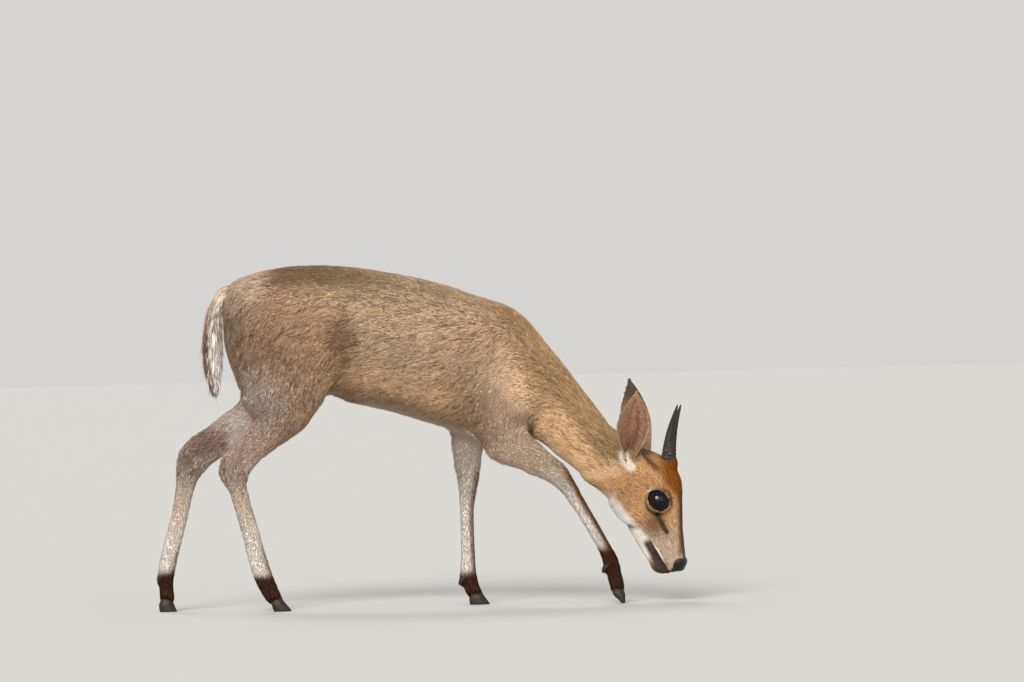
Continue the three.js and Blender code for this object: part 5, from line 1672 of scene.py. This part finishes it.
# %% Build the bristles with Geometry Nodes
def bristle_tree(name, material):
    tree = bpy.data.node_groups.new(name, "GeometryNodeTree")
    tree.interface.new_socket("Points", in_out="INPUT", socket_type="NodeSocketGeometry")
    ids = {}
    for label_of, kind, value in (
        ("Length", "NodeSocketFloat", 0.016), ("Thickness", "NodeSocketFloat", 0.00022),
        ("Shortest", "NodeSocketFloat", 0.6), ("Seed", "NodeSocketInt", 4),
    ):
        socket = tree.interface.new_socket(label_of, in_out="INPUT", socket_type=kind)
        socket.default_value = value
        ids[label_of] = socket.identifier
    tree.interface.new_socket("Mesh", in_out="OUTPUT", socket_type="NodeSocketGeometry")
    add, link = tree.nodes.new, tree.links.new
    start, finish_node = add("NodeGroupInput"), add("NodeGroupOutput")
    cone = add("GeometryNodeMeshCone")
    cone.inputs["Vertices"].default_value = 4
    cone.inputs["Side Segments"].default_value = 3
    cone.inputs["Radius Top"].default_value = 0.00002
    link(start.outputs["Thickness"], cone.inputs["Radius Bottom"])
    link(start.outputs["Length"], cone.inputs["Depth"])
    grown = add("GeometryNodeInputNamedAttribute")
    grown.data_type = "FLOAT_VECTOR"
    grown.inputs["Name"].default_value = "way"
    turn_of = add("FunctionNodeAlignEulerToVector")
    turn_of.axis = "Z"
    link(grown.outputs["Attribute"], turn_of.inputs["Vector"])
    size_of = add("FunctionNodeRandomValue")
    link(start.outputs["Shortest"], size_of.inputs["Min"])
    size_of.inputs["Max"].default_value = 1.15
    link(start.outputs["Seed"], size_of.inputs["Seed"])
    placed = add("GeometryNodeInstanceOnPoints")
    link(start.outputs["Points"], placed.inputs["Points"])
    link(cone.outputs["Mesh"], placed.inputs["Instance"])
    link(turn_of.outputs["Rotation"], placed.inputs["Rotation"])
    link(size_of.outputs["Value"], placed.inputs["Scale"])
    real = add("GeometryNodeRealizeInstances")
    link(placed.outputs["Instances"], real.inputs["Geometry"])
    painted = add("GeometryNodeSetMaterial")
    painted.inputs["Material"].default_value = material
    link(real.outputs["Geometry"], painted.inputs["Geometry"])
    link(painted.outputs["Geometry"], finish_node.inputs[0])
    return tree, ids


bristle_finish = Finish("bristle", Roughness=0.5, Specular_IOR_Level=0.3)
bristle_tone = bristle_finish.noise(400.0)
bristle_finish.colour(bristle_finish.mixed(bristle_tone, (0.012, 0.009, 0.007, 1), (0.05, 0.038, 0.03, 1)))
bristles, bristle_inputs = bristle_tree("bristles", bristle_finish.material)


def grow_bristles(name, at, lie, length, thickness, seed):
    """Single hairs at points in the head's own frame, on both sides of the head."""
    both = np.concatenate([at, at * [1, -1, 1]])
    ways = np.concatenate([lie, lie * [1, -1, 1]])
    ends = head_to_model(both + ways)
    both = head_to_model(both)
    mesh = bpy.data.meshes.new(name)
    mesh.from_pydata(both.tolist(), [], [])
    layer = mesh.attributes.new("way", "FLOAT_VECTOR", "POINT")
    layer.data.foreach_set("vector", unit(ends - both).astype(np.float32).ravel())
    obj = linked(name, mesh)
    modifier = obj.modifiers.new("bristles", "NODES")
    modifier.node_group = bristles
    modifier[bristle_inputs["Length"]] = length
    modifier[bristle_inputs["Thickness"]] = thickness
    modifier[bristle_inputs["Seed"]] = seed
    return plain_mesh(obj, name)


LASHES = 30
WHISKERS = 26
rng = np.random.default_rng(77)
lash_turn = np.linspace(0.12, 0.9, LASHES) * math.pi + rng.normal(0, 0.02, LASHES)
edge = np.cos(lash_turn)[:, None] * EYE_LONG * EYE_ACROSS + np.sin(lash_turn)[:, None] * EYE_SHORT * EYE_UP
edge *= 1.03  # just outside the opening
lift = np.sqrt(np.maximum((EYE_RADIUS + 1.2) ** 2 - (edge ** 2).sum(1), 0))
lash_root = EYE_CENTRE + edge + lift[:, None] * GAZE
lash_way = unit(unit(edge) * 0.8 + GAZE * 0.75 + rng.normal(0, 0.08, (LASHES, 3)))
lashes = grow_bristles("lashes", lash_root, lash_way, 0.0055, 0.00028, 3)
muzzle_spots = np.where((np.abs(face[:, 1]) > 8) & (face[:, 2] > 48) & (face[:, 2] < 84) & (share > 0.9)
                        & (face[:, 0] > 352) & (pad > 1.25) & (face[:, 1] > 0))[0]
chosen = rng.choice(muzzle_spots, WHISKERS, replace=False)
whisker_way = unit(np.stack([
    rng.normal(0.1, 0.3, WHISKERS), np.full(WHISKERS, 0.9), rng.normal(-0.45, 0.25, WHISKERS)], 1))
whiskers = grow_bristles("whiskers", to_head(skin_points[chosen]), whisker_way, 0.017, 0.00017, 9)
tell(f"{len(lashes.data.polygons)} and {len(whiskers.data.polygons)} faces of lashes and whiskers")

# %% [markdown]
# ## Hooves
# Each foot stands on two narrow black claws. The solids already have their shape, so each is copied, remeshed
# finely and relaxed, which rounds it like worn horn. Grain and grooves come from the finish.

# %% Finish the hooves
hoof_finish = Finish("hoof", Roughness=0.5, Specular_IOR_Level=0.22)
hoof_bands = hoof_finish.node("TexNoise", Vector=hoof_finish.node(
    "Mapping", Vector=hoof_finish.place(), Scale=(60, 60, 900)).outputs[0], Scale=1.0, Detail=3.0).outputs["Fac"]
hoof_finish.colour(hoof_finish.mixed(hoof_bands, (0.006, 0.004, 0.003, 1), (0.024, 0.015, 0.010, 1)))
hoof_finish.roughness(hoof_finish.spread(hoof_bands, 0.3, 0.7, 0.4, 0.65))
hoof_finish.bump(hoof_bands, 0.0005, 0.6)


def rounded(node, name, voxel, steps, material):
    source = bmesh.new()
    source.from_mesh(nodes[node].data)
    bmesh.ops.remove_doubles(source, verts=source.verts, dist=1e-6)
    merged = bpy.data.meshes.new("merged")
    source.to_mesh(merged)
    source.free()
    mesh = remeshed(merged, voxel)
    points = relax(coordinates(mesh), edges_of(mesh), np.full(len(mesh.vertices), steps))
    points[:, 2] = np.maximum(points[:, 2], 0)
    # The top runs on up into the foot, along the bone, so that no light shows between them.
    leg = np.array(LEG_LINES[node.rsplit("_hoof", 1)[0]], float)
    upward = unit(leg[-4] - leg[-1])
    top = points[:, 2].max()
    raised = smooth_step(top - 0.006, top - 0.001, points[:, 2])[:, None]
    points += upward * 0.007 * raised
    middle = to_model(leg[-1:])[0]
    points[:, :2] += (middle[:2] - points[:, :2]) * 0.3 * raised
    mesh.vertices.foreach_set("co", points.astype(np.float32).ravel())
    mesh.polygons.foreach_set("use_smooth", np.ones(len(mesh.polygons), bool))
    mesh.materials.clear()
    mesh.materials.append(material)
    return linked(name, mesh)


hooves = {}
for leg in LEGS:
    for where in ("inner", "outer"):
        node = f"{leg}_hoof_{where}"
        hooves[node] = rounded(node, node + "_claw", 0.0009, 3, hoof_finish.material)
tell(f"{len(hooves)} claws, {len(hooves[node].data.vertices)} points each")

# %% Add the dewclaws
# Two small blunt claws hang behind each foot. Each row is x and z of the pair and the y of its foot.
DEWCLAWS = [(-239, 47, -40.5), (-394, 52, 40), (275, 54, -37), (60, 38, 37)]
DEWCLAW_ROWS = [(9, 5, 2.6), (6, 3, 3.4), (2.5, 0, 3.5), (0.5, -3.5, 3.1), (-0.6, -6.5, 2.2), (-0.8, -8.2, 1.0)]
DEWCLAW_SIDES = 14


def tube(bm, line, radii):
    """A rounded tube along a line in the x-z plane, closed at both ends."""
    rows = []
    for i, (at, radius) in enumerate(zip(line, radii)):
        ahead = line[min(i + 1, len(line) - 1)] - line[max(i - 1, 0)]
        ahead /= np.linalg.norm(ahead)
        up_of = np.array([-ahead[2], 0, ahead[0]])
        turns = np.arange(DEWCLAW_SIDES) * 2 * math.pi / DEWCLAW_SIDES
        rim = at + radius * (np.cos(turns)[:, None] * up_of + np.sin(turns)[:, None] * [0, 1, 0])
        rows.append([bm.verts.new(to_model(p)) for p in rim])
    for low, high in zip(rows, rows[1:]):
        for i in range(DEWCLAW_SIDES):
            j = (i + 1) % DEWCLAW_SIDES
            bm.faces.new((low[i], low[j], high[j], high[i]))
    bm.faces.new(rows[0][::-1])
    bm.faces.new(rows[-1])


bm = bmesh.new()
for x_of, z_of, y_of in DEWCLAWS:
    for side in (-6.5, 6.5):
        line = [np.array([x_of + dx, y_of + side, z_of + dz], float) for dx, dz, _ in DEWCLAW_ROWS]
        tube(bm, line, [r for _, _, r in DEWCLAW_ROWS])
bmesh.ops.recalc_face_normals(bm, faces=bm.faces)
for f in bm.faces:
    f.smooth = True
dewclaw_mesh = bpy.data.meshes.new("dewclaws")
bm.to_mesh(dewclaw_mesh)
bm.free()
dewclaw_mesh.materials.append(hoof_finish.material)
dewclaws = linked("dewclaws", dewclaw_mesh)
tell("dewclaws added")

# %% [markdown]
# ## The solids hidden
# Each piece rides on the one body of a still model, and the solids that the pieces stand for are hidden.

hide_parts(*FLESH, "tail")
slots = {skin_object: "coat", tail_hair: "tail_hair"}
for piece in coat_pieces:
    slots[piece] = "head_coat" if "head" in piece.name else "coat"
for side in ("right", "left"):
    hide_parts("ear_" + side)
    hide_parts("horn_" + side)
    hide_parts("eye_" + side)
    slots.update({ears[side]: "ear_skin", horns[side]: "horn", eyes[side]: "eye"})
for piece in ear_hair:
    slots[piece] = "ear_skin"
slots.update({dewclaws: "hoof", lashes: "head_coat", whiskers: "head_coat"})
for node, piece in hooves.items():
    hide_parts(node)
    slots[piece] = "hoof"
for piece, slot_name in slots.items():
    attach(piece, "root")
total = sum(len(p.vertices) - 2 for o in slots for p in o.data.polygons)
tell(f"{len(slots)} pieces, {total} triangles")

# %% Print the sizes of the solids and of the dressed model
new_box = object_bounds()
sizes = {"cad": [list(v) for v in cad_box], "visual": [list(v) for v in new_box]}
for name, (low, high) in sizes.items():
    print(name, [round(v, 4) for v in low], [round(v, 4) for v in high])
